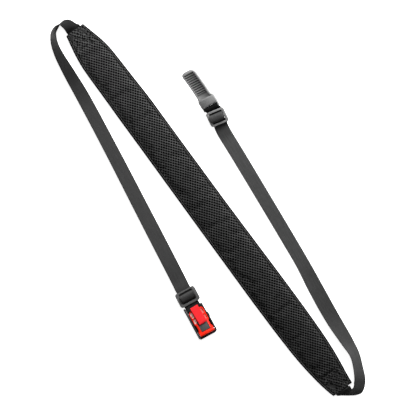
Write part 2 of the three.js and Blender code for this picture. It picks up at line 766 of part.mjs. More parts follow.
// Ribbon folded back on itself: lower layer, round fold at its free end, upper layer.
function pullRibbon() {
  const lower = LEVER_TOP + CLEARANCE + RIBBON_THICKNESS / 2;
  const foldRadius = 0.8;
  const fold = RIBBON_START + RIBBON_THICKNESS / 2 + foldRadius;
  const middle = lower + foldRadius;
  const rows = [
    { s: RIBBON_END - 3, z: lower },
    { s: (RIBBON_END + fold) / 2, z: lower },
    { s: fold + 2, z: lower },
  ];
  for (let angle = -RIGHT_ANGLE; angle <= RIGHT_ANGLE; angle += RIGHT_ANGLE / 3) {
    const s = fold - foldRadius * Math.cos(radians(angle));
    const z = middle + foldRadius * Math.sin(radians(angle));
    rows.push({ s, z });
  }
  rows.push({ s: fold + 2, z: middle + foldRadius });
  rows.push({ s: RIBBON_END - 3.5, z: middle + foldRadius });
  rows.push({ s: RIBBON_END - 1, z: middle + 0.4 });
  rows.push({ s: RIBBON_END, z: lower + 0.4 });
  const across = new THREE.Vector3(0, -1, 0);
  const stations = rows.map(({ s, z }) => ({ point: new THREE.Vector3(s, 0, z), across }));
  const geometry = tape(stations, RIBBON_WIDTH, RIBBON_THICKNESS, SPAN_STEP / 2);
  geometry.translate(-RIBBON_END, 0, 0);
  geometry.rotateZ(radians(RIBBON_TURN));
  geometry.translate(RIBBON_END, RIBBON_SHIFT, 0);
  return named('pull_ribbon', geometry, finish(COLOURS.ribbonRed, 0.8, 0));
}

// ---- ratchet tongue ----

// Point at a distance along the arched tongue and a height above its underside.
function archPoint(distance, height) {
  const start = radians(TONGUE_BEND_START);
  const bend = radians(TONGUE_BEND_END - TONGUE_BEND_START) / TONGUE_LENGTH;
  const angle = start + bend * distance;
  const s = TONGUE_PLATE_START + (Math.sin(angle) - Math.sin(start)) / bend;
  const z = TONGUE_UNDERSIDE + (Math.cos(start) - Math.cos(angle)) / bend;
  return [s - height * Math.sin(angle), z + height * Math.cos(angle)];
}

function archSlab(bottomRow, topRow, fromAcross, toAcross) {
  const bottom = bottomRow.map(([distance, height]) => archPoint(distance, height));
  const top = topRow.map(([distance, height]) => archPoint(distance, height)).reverse();
  return sideSlab([...bottom, ...top], fromAcross, toAcross);
}

function archRow(from, to, height, steps = 12) {
  const row = [];
  for (let step = 0; step <= steps; step += 1) {
    row.push([from + (to - from) * step / steps, height]);
  }
  return row;
}

function ladderRow() {
  const row = [];
  for (let tooth = 0; tooth < TOOTH_COUNT; tooth += 1) {
    const from = LADDER_START + tooth * TOOTH_PITCH;
    row.push([from, TONGUE_TOP - 0.3]);
    row.push([from + 0.5, TONGUE_CORE]);
    row.push([from + 1.5, TONGUE_CORE]);
    row.push([from + TOOTH_PITCH - 0.6, TONGUE_TOP - 0.3]);
  }
  return row;
}

function tongueOutline() {
  const narrow = TONGUE_WIDTH / 2;
  const left = TONGUE_BASE_WIDTH / 2;
  const right = left + TONGUE_BASE_SPREAD;
  const tip = archPoint(TONGUE_LENGTH, TONGUE_CORE)[0];
  const corner = TONGUE_TIP_CORNER;
  const leftCorner = TONGUE_TIP_LEFT_CORNER;
  const shape = new THREE.Shape();
  shape.moveTo(TONGUE_ARM_START, -left);
  shape.lineTo(TONGUE_PLATE_START + 4, -right);
  shape.lineTo(TONGUE_RIDGE_AT - 1, -right);
  shape.lineTo(TONGUE_RIDGE_AT + 2.5, -narrow);
  shape.lineTo(tip - corner, -narrow);
  shape.absarc(tip - corner, corner - narrow, corner, -Math.PI / 2, 0);
  shape.absarc(tip - leftCorner, narrow - leftCorner, leftCorner, 0, Math.PI / 2);
  shape.lineTo(TONGUE_RIDGE_AT + 3, narrow);
  shape.lineTo(TONGUE_PLATE_START + 9, left - 0.3);
  shape.lineTo(TONGUE_ARM_START, left);
  shape.closePath();
  return planSlab(shape, -5, 40);
}

function ratchetTongue() {
  const half = TONGUE_BASE_WIDTH / 2 + TONGUE_BASE_SPREAD;
  const armHalf = TONGUE_BASE_WIDTH / 2;
  const railInner = TONGUE_WIDTH / 2 - TONGUE_RAIL;
  const ridge = TONGUE_RIDGE_AT - TONGUE_PLATE_START;
  const neckTop = TONGUE_TOP - 0.7;
  const ladderEnd = LADDER_START + TOOTH_COUNT * TOOTH_PITCH;
  let body = archSlab(
    archRow(0, TONGUE_LENGTH, 0),
    archRow(0, TONGUE_LENGTH, TONGUE_CORE - 0.4),
    -half,
    half,
  );
  body = body.add(archSlab(
    archRow(0, ridge, 0.5, 3),
    [
      [0, TONGUE_BASE_TOP - 0.6],
      [0.8, TONGUE_BASE_TOP],
      [ridge - 1, TONGUE_BASE_TOP + 0.3],
      [ridge, neckTop],
    ],
    -half,
    half,
  ));
  body = body.add(archSlab(
    archRow(ridge - 2, LADDER_START, 0.5, 3),
    archRow(ridge - 2, LADDER_START, neckTop, 3),
    -half,
    half,
  ));
  body = body.add(archSlab(
    archRow(LADDER_START - 0.5, ladderEnd + 0.5, 0.5, 8),
    ladderRow(),
    -railInner - 0.5,
    railInner + 0.5,
  ));
  body = body.add(archSlab(
    archRow(ladderEnd - 0.2, TONGUE_LENGTH, 0.5, 3),
    [
      [ladderEnd - 0.2, TONGUE_TOP - 0.2],
      [TONGUE_LENGTH - 2, TONGUE_TOP - 0.4],
      [TONGUE_LENGTH, TONGUE_TOP - 1.6],
    ],
    -half,
    half,
  ));
  for (const side of [-1, 1]) {
    const from = side > 0 ? railInner : -half;
    const to = side > 0 ? half : -railInner;
    body = body.add(archSlab(
      archRow(ridge, ladderEnd, 0.5, 8),
      archRow(ridge, ladderEnd, TONGUE_TOP, 8),
      from,
      to,
    ));
  }
  const armTop = TONGUE_UNDERSIDE + TONGUE_BASE_TOP - 0.3;
  for (const side of [-1, 1]) {
    const from = side > 0 ? armHalf - TONGUE_ARM : -half;
    const to = side > 0 ? half : TONGUE_ARM - armHalf;
    const arm = [
      [TONGUE_ARM_START, 2.6],
      [TONGUE_ARM_START + 1.4, 2],
      [TONGUE_PLATE_START + 6, TONGUE_UNDERSIDE + 0.6],
      [TONGUE_PLATE_START + 6, armTop],
      [TONGUE_PLATE_START, armTop - 0.6],
      [TONGUE_ARM_START, 5.9],
    ];
    body = body.add(sideSlab(arm, from, to));
  }
  body = body.intersect(tongueOutline());
  const barHalf = armHalf - TONGUE_ARM / 2;
  body = body.add(crossBar(TONGUE_BAR_AT, FITTING_BAR_HEIGHT, FITTING_BAR_RADIUS, barHalf));
  return named('ratchet_tongue', toGeometry(body), finish(COLOURS.tonguePlastic, 0.5, 0));
}

// ---- assembly ----

function buckleEnd() {
  const group = endGroup(BUCKLE_END);
  group.add(slider('slider_buckle_side', BUCKLE_END, COLOURS.darkSlider));
  group.add(buckleHousing());
  group.add(leverPivotPin());
  group.add(releaseLever());
  group.add(latchPlate());
  group.add(pullRibbon());
  return group;
}

function tongueEnd() {
  const group = endGroup(TONGUE_END);
  group.add(slider('slider_tongue_side', TONGUE_END, COLOURS.paleSlider));
  group.add(ratchetTongue());
  return group;
}

function carrierStrap() {
  const strap = new THREE.Group();
  strap.add(shoulderPad());
  const buckleSide = {
    pocket: UPPER_POCKET,
    run: BUCKLE_RUN,
    end: BUCKLE_END,
    barAt: HOUSING_BAR_AT,
    side: -1,
  };
  const tongueSide = {
    pocket: LOWER_POCKET,
    run: TONGUE_RUN,
    end: TONGUE_END,
    barAt: TONGUE_BAR_AT,
    side: 1,
  };
  strap.add(webbing('webbing_buckle_side', buckleSide, COLOURS.webbing));
  strap.add(webbing('webbing_tongue_side', tongueSide, COLOURS.paleWebbing));
  strap.add(buckleEnd());
  strap.add(tongueEnd());
  strap.updateMatrixWorld(true);
  const box = new THREE.Box3().setFromObject(strap, true);
  const middle = box.getCenter(new THREE.Vector3());
  strap.position.set(-middle.x, -middle.y, -box.min.z);
  return strap;
}

const carrier = new THREE.Group();
carrier.add(carrierStrap());

export default carrier;
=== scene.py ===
"""Helmet carrier strap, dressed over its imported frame.

A padded shoulder strap of spacer mesh with a woven 20 mm webbing sewn into each end. The webbings turn back
beside the pad, pass through a tri-glide slider each, and end in the two halves of a ratchet buckle.
Sizes are in millimetres and become metres when a mesh is made.
"""

import logging
import math
import random
from dataclasses import dataclass, field
from enum import Enum, IntEnum
from functools import cache
from typing import NamedTuple, Sequence

import bmesh
import bpy
import numpy as np
from mathutils import Euler, Matrix, Vector, noise
from mathutils.bvhtree import BVHTree


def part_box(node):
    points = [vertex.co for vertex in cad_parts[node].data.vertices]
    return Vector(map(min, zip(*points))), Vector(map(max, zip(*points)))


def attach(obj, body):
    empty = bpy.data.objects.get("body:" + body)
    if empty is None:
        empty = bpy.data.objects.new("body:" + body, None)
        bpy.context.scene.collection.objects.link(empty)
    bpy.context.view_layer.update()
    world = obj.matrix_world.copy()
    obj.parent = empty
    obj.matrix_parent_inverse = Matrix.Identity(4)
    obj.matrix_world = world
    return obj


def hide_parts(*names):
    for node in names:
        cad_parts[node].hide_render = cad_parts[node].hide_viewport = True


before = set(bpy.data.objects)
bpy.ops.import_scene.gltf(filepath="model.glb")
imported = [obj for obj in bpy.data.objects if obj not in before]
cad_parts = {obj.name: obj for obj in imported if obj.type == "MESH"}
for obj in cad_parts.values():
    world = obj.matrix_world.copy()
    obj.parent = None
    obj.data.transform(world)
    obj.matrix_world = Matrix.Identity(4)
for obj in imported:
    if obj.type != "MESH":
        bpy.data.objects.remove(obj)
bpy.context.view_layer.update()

MM = 0.001
STRAP_BODY = "strap"
LEVER_BODY = "lever"
FABRIC_MAP = "fabric"
EDGE_ATTRIBUTE = "edge"
# Mask of painted shade: shade painted into recesses and grooves, and down the mesh's holes to the black foam.
PAINTED_SHADE_ATTRIBUTE = "painted_shade"
# Mask of painted highlights.
PAINTED_HIGHLIGHT_ATTRIBUTE = "painted_highlight_mask"

log = logging.getLogger("carrier_strap")

Colour = tuple[float, float, float, float]
Socket = bpy.types.NodeSocket


def shade(level: float) -> Colour:
    """A grey of that linear level."""
    return (level, level, level, 1.0)


def tinted(colour: Colour, times: float, plus: float = 0.0) -> Colour:
    """A colour made lighter or darker."""
    return tuple(min(1.0, value * times + plus) for value in colour[:3]) + (1.0,)


# ---- node groups and finishes ----


class NodeSheet:
    """Places and wires shader nodes in one node tree."""

    def __init__(self, tree: bpy.types.NodeTree) -> None:
        """Keeps the tree that the nodes go into."""
        self.tree = tree

    def add(self, kind: str, **values: object) -> bpy.types.Node:
        """Adds a node and sets its sockets or properties by name.

        Args:
            kind: the node's Blender type without the ShaderNode prefix.
            values: properties of the node, or inputs by name with spaces as underscores.

        Returns:
            The new node.
        """
        node = self.tree.nodes.new("ShaderNode" + kind)
        for name, value in values.items():
            socket = name.replace("_", " ")
            if socket in node.inputs:
                node.inputs[socket].default_value = value
            else:
                setattr(node, name, value)
        return node

    def wire(self, source: Socket, target: Socket) -> None:
        """Joins an output to an input."""
        self.tree.links.new(source, target)

    def reading(self, kind: str, vector: Socket, **values: object) -> bpy.types.Node:
        """Adds a node whose Vector input reads an output."""
        node = self.add(kind, **values)
        self.wire(vector, node.inputs["Vector"])
        return node

    def split(self, vector: Socket) -> tuple[Socket, Socket]:
        """A vector's X and Y."""
        node = self.reading("SeparateXYZ", vector)
        return node.outputs["X"], node.outputs["Y"]

    def fabric(self) -> Socket:
        """Places on the flat fabric, in metres."""
        return self.add("UVMap", uv_map=FABRIC_MAP).outputs["UV"]

    def place(self) -> Socket:
        """Places on the object, in metres."""
        return self.add("TexCoord").outputs["Object"]

    def mask(self, name: str) -> Socket:
        """A mask that the mesh carries."""
        return self.add("Attribute", attribute_name=name).outputs["Fac"]

    def group(self, tree: bpy.types.NodeTree, vector: Socket, **values: float) -> bpy.types.Node:
        """Places a shared group whose Vector input reads an output, with its other inputs by name."""
        return self.reading("Group", vector, node_tree=tree, **values)

    def blend(self, factor: Socket, first: object, second: object) -> Socket:
        """Mixes two colours.

        Args:
            factor: 0 gives the first colour and 1 the second.
            first: a colour or an output socket.
            second: a colour or an output socket.

        Returns:
            The mixed colour's socket.
        """
        node = self.add("Mix", data_type="RGBA")
        self.wire(factor, node.inputs["Factor"])
        colour_inputs = [socket for socket in node.inputs if socket.type == "RGBA"]
        for socket, value in zip(colour_inputs, (first, second)):
            if isinstance(value, tuple):
                socket.default_value = value
            else:
                self.wire(value, socket)
        return next(socket for socket in node.outputs if socket.type == "RGBA")

    def relief(self, height: Socket, shader: bpy.types.Node, depth: float, strength: float) -> None:
        """Feeds a height to the shader's normal.

        Args:
            height: the height, from 0 to 1.
            shader: the Principled shader.
            depth: how deep a height of 1 is, in metres.
            strength: how strongly it shows.
        """
        bump = self.add("Bump", Distance=depth, Strength=strength)
        self.wire(height, bump.inputs["Height"])
        self.wire(bump.outputs["Normal"], shader.inputs["Normal"])

    def math(
        self, operation: str, first: object, second: object = None, third: object = None, clamp: bool = False
    ) -> Socket:
        """Adds a Math node.

        Args:
            operation: the Math node's operation.
            first: an output socket or a number.
            second: an output socket, a number or None.
            third: an output socket, a number or None.
            clamp: whether the result is held between 0 and 1.

        Returns:
            The node's output socket.
        """
        node = self.add("Math", operation=operation, use_clamp=clamp)
        for index, value in enumerate((first, second, third)):
            if value is None:
                continue
            if isinstance(value, (int, float)):
                node.inputs[index].default_value = value
            else:
                self.wire(value, node.inputs[index])
        return node.outputs[0]


def shader_group(name: str, inputs: dict[str, float], outputs: Sequence[str]) -> tuple:
    """Starts a shader node group that takes a vector.

    Args:
        name: the group's name.
        inputs: the numbers that it takes as well, with their default values.
        outputs: the numbers that it gives.

    Returns:
        The group, a NodeSheet for it, what it is given and what it results in, both by name.
    """
    group = bpy.data.node_groups.new(name, "ShaderNodeTree")
    group.interface.new_socket(name="Vector", in_out="INPUT", socket_type="NodeSocketVector")
    for title, value in inputs.items():
        socket = group.interface.new_socket(name=title, in_out="INPUT", socket_type="NodeSocketFloat")
        socket.default_value = value
    for title in outputs:
        group.interface.new_socket(name=title, in_out="OUTPUT", socket_type="NodeSocketFloat")
    given, result = group.nodes.new("NodeGroupInput"), group.nodes.new("NodeGroupOutput")
    return group, NodeSheet(group), given.outputs, result.inputs


class EffectGroups:
    """The shader node groups that several finishes share, each built once."""

    # How much coarser the mottle is than the grain over it.
    MOTTLE_SCALE = 0.08
    # Scale of the weave's streaks across and along the tape.
    STREAK_SCALE = (1400.0, 45.0, 1.0)
    # Where the yarn dips between the staggered holes, in pitches, and how far it dips.
    ROW_PHASE = 0.75
    COLUMN_PHASE = 0.25
    ROW_DIP = 0.5
    COLUMN_DIP = 0.43
    DIP_STRENGTH = 2.6

    def __init__(self) -> None:
        """Builds every group."""
        self.grain = self._grain()
        self.wear = self._edge_wear()
        self.weave = self._weave()
        self.lint = self._lint()
        self.knit = self._knit()

    def _grain(self) -> bpy.types.NodeTree:
        """Fine moulded grain with a slow mottle under it."""
        group, sheet, given, result = shader_group("moulded grain", {"Scale": 4000.0}, ["Height", "Mottle"])
        fine = sheet.reading("TexNoise", given["Vector"], Detail=3.0, Roughness=0.6)
        slow = sheet.reading("TexNoise", given["Vector"], Detail=2.0, Roughness=0.5)
        sheet.wire(given["Scale"], fine.inputs["Scale"])
        slow_scale = sheet.math("MULTIPLY", given["Scale"], self.MOTTLE_SCALE)
        sheet.wire(slow_scale, slow.inputs["Scale"])
        sheet.wire(fine.outputs["Fac"], result["Height"])
        sheet.wire(slow.outputs["Fac"], result["Mottle"])
        return group

    def _edge_wear(self) -> bpy.types.NodeTree:
        """Broken wear along edges, also painted edge highlight on plastic, from a mask that is 1 on the
        edges.
        """
        group, sheet, given, result = shader_group("edge wear", {"Edge": 0.0, "Amount": 0.5}, ["Mask"])
        vector = given["Vector"]
        scuffs = sheet.reading("TexNoise", vector, Scale=700.0, Detail=4.0, Roughness=0.65)
        broken = sheet.math("MULTIPLY_ADD", scuffs.outputs["Fac"], 2.4, -0.55, clamp=True)
        wear_and_highlight = sheet.math("MULTIPLY", broken, given["Edge"])
        sheet.wire(sheet.math("MULTIPLY", wear_and_highlight, given["Amount"], clamp=True), result["Mask"])
        return group

    def _weave(self) -> bpy.types.NodeTree:
        """Plain weave over fabric coordinates in metres: warp runs along V, weft along U."""
        inputs = {"Warp pitch": 0.0009, "Weft pitch": 0.0011}
        group, sheet, given, result = shader_group("woven threads", inputs, ["Height", "Crown", "Streak"])
        across, along = sheet.split(given["Vector"])
        across = sheet.math("DIVIDE", across, given["Warp pitch"])
        along = sheet.math("DIVIDE", along, given["Weft pitch"])
        warp = sheet.math("SINE", sheet.math("MULTIPLY", across, math.tau))
        weft = sheet.math("SINE", sheet.math("MULTIPLY", along, math.tau))
        height = sheet.math("MULTIPLY_ADD", sheet.math("MULTIPLY", warp, weft), 0.5, 0.5)
        stretched = sheet.add("VectorMath", operation="MULTIPLY")
        stretched.inputs[1].default_value = self.STREAK_SCALE
        sheet.wire(given["Vector"], stretched.inputs[0])
        streaks = sheet.reading("TexNoise", stretched.outputs["Vector"], Scale=1.0, Detail=3.0, Roughness=0.6)
        sheet.wire(height, result["Height"])
        sheet.wire(sheet.math("POWER", height, 2.0), result["Crown"])
        sheet.wire(streaks.outputs["Fac"], result["Streak"])
        return group

    def _lint(self) -> bpy.types.NodeTree:
        """Sparse pale specks of lint and dust."""
        group, sheet, given, result = shader_group("lint", {"Scale": 260.0, "Amount": 0.3}, ["Mask"])
        cells = sheet.reading("TexVoronoi", given["Vector"])
        patches = sheet.reading("TexNoise", given["Vector"], Scale=35.0, Detail=2.0)
        sheet.wire(given["Scale"], cells.inputs["Scale"])
        speck = sheet.math("SUBTRACT", 0.16, cells.outputs["Distance"])
        speck = sheet.math("MULTIPLY", speck, 9.0, clamp=True)
        patch = sheet.math("SUBTRACT", patches.outputs["Fac"], 0.42)
        patch = sheet.math("MULTIPLY", patch, 4.0, clamp=True)
        both = sheet.math("MULTIPLY", speck, patch)
        sheet.wire(sheet.math("MULTIPLY", both, given["Amount"], clamp=True), result["Mask"])
        return group

    def _knit(self) -> bpy.types.NodeTree:
        """Bright floats of yarn between the staggered holes of a spacer mesh, over places in metres."""
        inputs = {"Row pitch": 0.0026, "Hole pitch": 0.0041}
        group, sheet, given, result = shader_group("spacer knit", inputs, ["Float"])
        across, along = sheet.split(given["Vector"])
        half = sheet.math("MULTIPLY", sheet.math("DIVIDE", along, given["Row pitch"]), 0.5)
        across = sheet.math("DIVIDE", across, given["Hole pitch"])
        rows = sheet.math("SUBTRACT", sheet.math("SUBTRACT", half, across), self.ROW_PHASE)
        columns = sheet.math("SUBTRACT", sheet.math("ADD", half, across), self.COLUMN_PHASE)
        down = sheet.math("COSINE", sheet.math("MULTIPLY", rows, math.tau))
        over = sheet.math("COSINE", sheet.math("MULTIPLY", columns, math.tau))
        over = sheet.math("MULTIPLY_ADD", over, self.COLUMN_DIP, 1 - self.COLUMN_DIP)
        below = sheet.math("MULTIPLY_ADD", down, -self.ROW_DIP, self.ROW_DIP)
        sunk = sheet.math("MULTIPLY", sheet.math("MULTIPLY", over, below), self.DIP_STRENGTH)
        sheet.wire(sheet.math("SUBTRACT", 1.0, sunk, clamp=True), result["Float"])
        return group


@cache
def effects() -> EffectGroups:
    """The shared groups, built at the first call."""
    return EffectGroups()


class Finish:
    """Common parts of every finish."""

    def start(self, name: str) -> tuple[bpy.types.Material, NodeSheet, bpy.types.Node]:
        """Makes an empty material.

        Args:
            name: the material's name.

        Returns:
            The material, a NodeSheet for it and its Principled shader.
        """
        material = bpy.data.materials.new(name)
        material.use_nodes = True
        material.node_tree.nodes.clear()
        sheet = NodeSheet(material.node_tree)
        shader = sheet.add("BsdfPrincipled")
        sheet.wire(shader.outputs["BSDF"], sheet.add("OutputMaterial").inputs["Surface"])
        return material, sheet, shader

    def worn_edges(self, sheet: NodeSheet, place: Socket, amount: float) -> Socket:
        """The mask of broken wear along a part's edges, also painted edge highlight on plastic."""
        wear = sheet.group(effects().wear, place, Amount=amount)
        sheet.wire(sheet.mask(EDGE_ATTRIBUTE), wear.inputs["Edge"])
        return wear.outputs["Mask"]


@dataclass(frozen=True)
class MouldedPlastic(Finish):
    """Moulded plastic with fine grain, mottled gloss, edge wear that also paints edge highlights, painted
    shade in recesses, painted highlights on patches and a little dust.
    """

    name: str
    colour: Colour
    # Colour of the edges, for their wear and for painted edge highlights.
    wear_and_highlight: Colour
    # Colour of the shade painted into recesses.
    recess_shade: Colour
    # Colour of painted highlights.
    painted_highlight: Colour = (1.0, 1.0, 1.0, 1.0)
    roughness: float = 0.45
    wear: float = 0.15
    dust: float = 0.06
    grain: float = 3500.0
    grain_depth: float = 0.00003
    specular: float = 0.4

    def material(self) -> bpy.types.Material:
        """Builds the material."""
        material, sheet, shader = self.start(self.name)
        place = sheet.place()
        grain = sheet.group(effects().grain, place, Scale=self.grain)
        wear = self.worn_edges(sheet, place, self.wear)
        lint = sheet.group(effects().lint, place, Scale=520.0, Amount=self.dust)
        body = sheet.blend(grain.outputs["Mottle"], tinted(self.colour, 0.72), self.colour)
        # Edge wear and painted edge highlights: the edges go paler.
        body = sheet.blend(wear, body, self.wear_and_highlight)
        # Painted shade: darker where the part hides the sky from itself, and on patches of painted shade.
        body = sheet.blend(sheet.mask(PAINTED_SHADE_ATTRIBUTE), body, self.recess_shade)
        # Painted highlight: paler on the highlight patches, broken by the mottle.
        broken = sheet.math("MULTIPLY_ADD", grain.outputs["Mottle"], 1.6, -0.1, clamp=True)
        shine = sheet.math("MULTIPLY", broken, sheet.mask(PAINTED_HIGHLIGHT_ATTRIBUTE))
        body = sheet.blend(shine, body, self.painted_highlight)
        body = sheet.blend(lint.outputs["Mask"], body, tinted(self.colour, 1.6, 0.03))
        sheet.wire(body, shader.inputs["Base Color"])
        gloss = sheet.math("MULTIPLY_ADD", grain.outputs["Mottle"], 0.22, self.roughness - 0.11)
        sheet.wire(sheet.math("MULTIPLY_ADD", wear, 0.15, gloss), shader.inputs["Roughness"])
        shader.inputs["Specular IOR Level"].default_value = self.specular
        sheet.relief(grain.outputs["Height"], shader, self.grain_depth, 0.35)
        return material


class LightAlong(NamedTuple):
    """How light a tape is painted at a distance along it, in metres, against its plain colour."""

    at: float
    level: float


# Distance along the tape from its end inside the pad, and how light it is painted there: painted shade in the
# pad's mouth and where the sliders and fittings shade it, a painted sheen where it turns over beside the pad,
# and lighter or darker along its open stretch as it leans towards or away from the light.
BUCKLE_SIDE_LIGHT = tuple(
    LightAlong(at, level)
    for at, level in (
        (0.030, 0.12), (0.048, 0.25), (0.056, 1.0), (0.064, 3.8), (0.071, 1.5), (0.080, 0.5),
        (0.092, 0.23), (0.128, 0.23), (0.152, 0.4), (0.185, 0.65), (0.240, 0.72), (0.300, 0.8),
        (0.380, 0.92), (0.436, 0.8), (0.452, 0.5), (0.4555, 0.06), (0.458, 1.6), (0.4605, 0.85),
        (0.4625, 0.55), (0.4645, 0.4), (0.472, 0.42), (0.476, 0.06), (0.488, 0.22), (0.506, 0.8),
        (0.540, 0.8),
    )
)
TONGUE_SIDE_LIGHT = tuple(
    LightAlong(at, level)
    for at, level in (
        (0.030, 0.08), (0.045, 0.13), (0.062, 0.33), (0.080, 0.6), (0.105, 0.7), (0.130, 0.5),
        (0.172, 0.47), (0.195, 0.6), (0.215, 0.85), (0.242, 1.25), (0.300, 1.25), (0.425, 1.3),
        (0.440, 0.8), (0.456, 0.25), (0.461, 0.06), (0.465, 0.9), (0.4725, 1.1), (0.4745, 0.03),
        (0.478, 0.03), (0.490, 0.1), (0.502, 0.08), (0.540, 0.6),
    )
)


@dataclass(frozen=True)
class WovenTape(Finish):
    """Woven tape: crossing threads, streaks along the warp, lint, and light and shade painted along its
    length.
    """

    name: str
    thread: Colour
    crown: Colour
    warp: float = 0.0011
    weft: float = 0.0013
    depth: float = 0.00012
    roughness: float = 0.72
    sheen: float = 0.04
    lint: float = 0.12
    streaks: float = 0.6
    light_along: tuple[LightAlong, ...] = ()

    LIGHTEST = 4.0

    def paint_light_along(self, sheet: NodeSheet, fabric: Socket, body: Socket) -> Socket:
        """Paints light and shade into the tape's colour along its length.

        Args:
            sheet: the material's nodes.
            fabric: places on the flat tape, in metres.
            body: the plain colour.

        Returns:
            The socket of the colour with its painted light and shade.
        """
        reach = self.light_along[-1].at
        ramp = sheet.add("ValToRGB")
        sheet.wire(sheet.math("DIVIDE", sheet.split(fabric)[1], reach), ramp.inputs["Fac"])
        stops = ramp.color_ramp
        stops.interpolation = "EASE"
        while len(stops.elements) < len(self.light_along):
            stops.elements.new(1.0)
        for stop, tone in zip(stops.elements, self.light_along):
            stop.position = tone.at / reach
            stop.color = shade(tone.level / self.LIGHTEST)
        scaled = sheet.add("VectorMath", operation="SCALE")
        sheet.wire(body, scaled.inputs[0])
        sheet.wire(sheet.math("MULTIPLY", ramp.outputs["Color"], self.LIGHTEST), scaled.inputs["Scale"])
        return scaled.outputs["Vector"]

    def material(self) -> bpy.types.Material:
        """Builds the material."""
        material, sheet, shader = self.start(self.name)
        fabric, place = sheet.fabric(), sheet.place()
        weave = sheet.group(effects().weave, fabric, Warp_pitch=self.warp, Weft_pitch=self.weft)
        lint = sheet.group(effects().lint, place, Amount=self.lint)
        lifted = sheet.math("SUBTRACT", sheet.math("MULTIPLY", weave.outputs["Crown"], 0.8), 0.25)
        streaked = sheet.math("MULTIPLY_ADD", weave.outputs["Streak"], self.streaks, lifted, clamp=True)
        body = sheet.blend(streaked, self.thread, self.crown)
        body = sheet.blend(lint.outputs["Mask"], body, tinted(self.crown, 1.8, 0.02))
        if self.light_along:
            body = self.paint_light_along(sheet, fabric, body)
        sheet.wire(body, shader.inputs["Base Color"])
        rough = sheet.math("MULTIPLY_ADD", weave.outputs["Height"], -0.12, self.roughness)
        sheet.wire(rough, shader.inputs["Roughness"])
        shader.inputs["Specular IOR Level"].default_value = 0.08
        shader.inputs["Sheen Weight"].default_value = self.sheen
        shader.inputs["Sheen Roughness"].default_value = 0.45
        sheet.relief(weave.outputs["Height"], shader, self.depth, 0.8)
        return material


@dataclass(frozen=True)
class SpacerMesh(Finish):
    """Knitted spacer mesh: pale yarn between holes that go down to black foam, with painted light and shade.
    """

    name: str
    yarn: Colour
    crown: Colour
    foam: Colour
    row_pitch: float
    hole_pitch: float
    stitch: float = 0.00062
    roughness: float = 0.8
    # How strongly light is painted across and along the mesh, and how far along it, in metres, it is even.
    falloff_across: float = 11.0
    falloff_along: float = 1.1
    falloff_centre: float = 0.25

    def painted_light_falloff(self, sheet: NodeSheet, fabric: Socket) -> Socket:
        """Paints light across the mesh: lighter towards its left edge and its upper end, darker towards the
        right edge and the lower end, as the light falls across the pad.

        Args:
            sheet: the material's nodes.
            fabric: places on the flat mesh, in metres.

        Returns:
            A factor's socket, 1 in the middle of the mesh.
        """
        across, along = sheet.split(fabric)
        across = sheet.math("MULTIPLY_ADD", across, self.falloff_across, 1.0)
        start = 1.0 + self.falloff_along * self.falloff_centre
        return sheet.math("MULTIPLY", across, sheet.math("MULTIPLY_ADD", along, -self.falloff_along, start))

    def material(self) -> bpy.types.Material:
        """Builds the material."""
        material, sheet, shader = self.start(self.name)
        fabric, place = sheet.fabric(), sheet.place()
        stitch = self.stitch
        knit = sheet.group(effects().weave, fabric, Warp_pitch=stitch, Weft_pitch=stitch * 1.4)
        lint = sheet.group(effects().lint, place, Scale=300.0, Amount=0.3)
        floats = sheet.group(effects().knit, fabric, Row_pitch=self.row_pitch, Hole_pitch=self.hole_pitch)
        mottle = sheet.reading("TexNoise", place, Scale=90.0, Detail=3.0)
        uneven = sheet.math("MULTIPLY_ADD", mottle.outputs["Fac"], 0.8, 0.55)
        threads = sheet.math("MULTIPLY_ADD", knit.outputs["Crown"], 0.25, 0.85)
        mixed = sheet.math("MULTIPLY", floats.outputs["Float"], uneven)
        # Painted light across the mesh.
        mixed = sheet.math("MULTIPLY", mixed, self.painted_light_falloff(sheet, fabric))
        mixed = sheet.math("MULTIPLY", mixed, threads, clamp=True)
        body = sheet.blend(mixed, self.yarn, self.crown)
        body = sheet.blend(lint.outputs["Mask"], body, tinted(self.crown, 2.0, 0.02))
        # Painted shade: darker down the holes towards the black foam's colour, and in the groove beside the
        # binding.
        body = sheet.blend(sheet.mask(PAINTED_SHADE_ATTRIBUTE), body, self.foam)
        sheet.wire(body, shader.inputs["Base Color"])
        rough = sheet.math("MULTIPLY_ADD", knit.outputs["Height"], -0.1, self.roughness)
        sheet.wire(rough, shader.inputs["Roughness"])
        shader.inputs["Specular IOR Level"].default_value = 0.03
        sheet.relief(knit.outputs["Height"], shader, 0.0001, 0.7)
        return material


@dataclass(frozen=True)
class SewingThread(Finish):
    """Twisted sewing thread."""

    name: str
    colour: Colour
    twist: float = 0.0007

    def material(self) -> bpy.types.Material:
        """Builds the material."""
        material, sheet, shader = self.start(self.name)
        twist = sheet.group(effects().weave, sheet.fabric(), Warp_pitch=0.002, Weft_pitch=self.twist)
        body = sheet.blend(twist.outputs["Crown"], self.colour, tinted(self.colour, 1.9))
        sheet.wire(body, shader.inputs["Base Color"])
        shader.inputs["Roughness"].default_value = 0.55
        sheet.relief(twist.outputs["Height"], shader, 0.00008, 0.6)
        return material


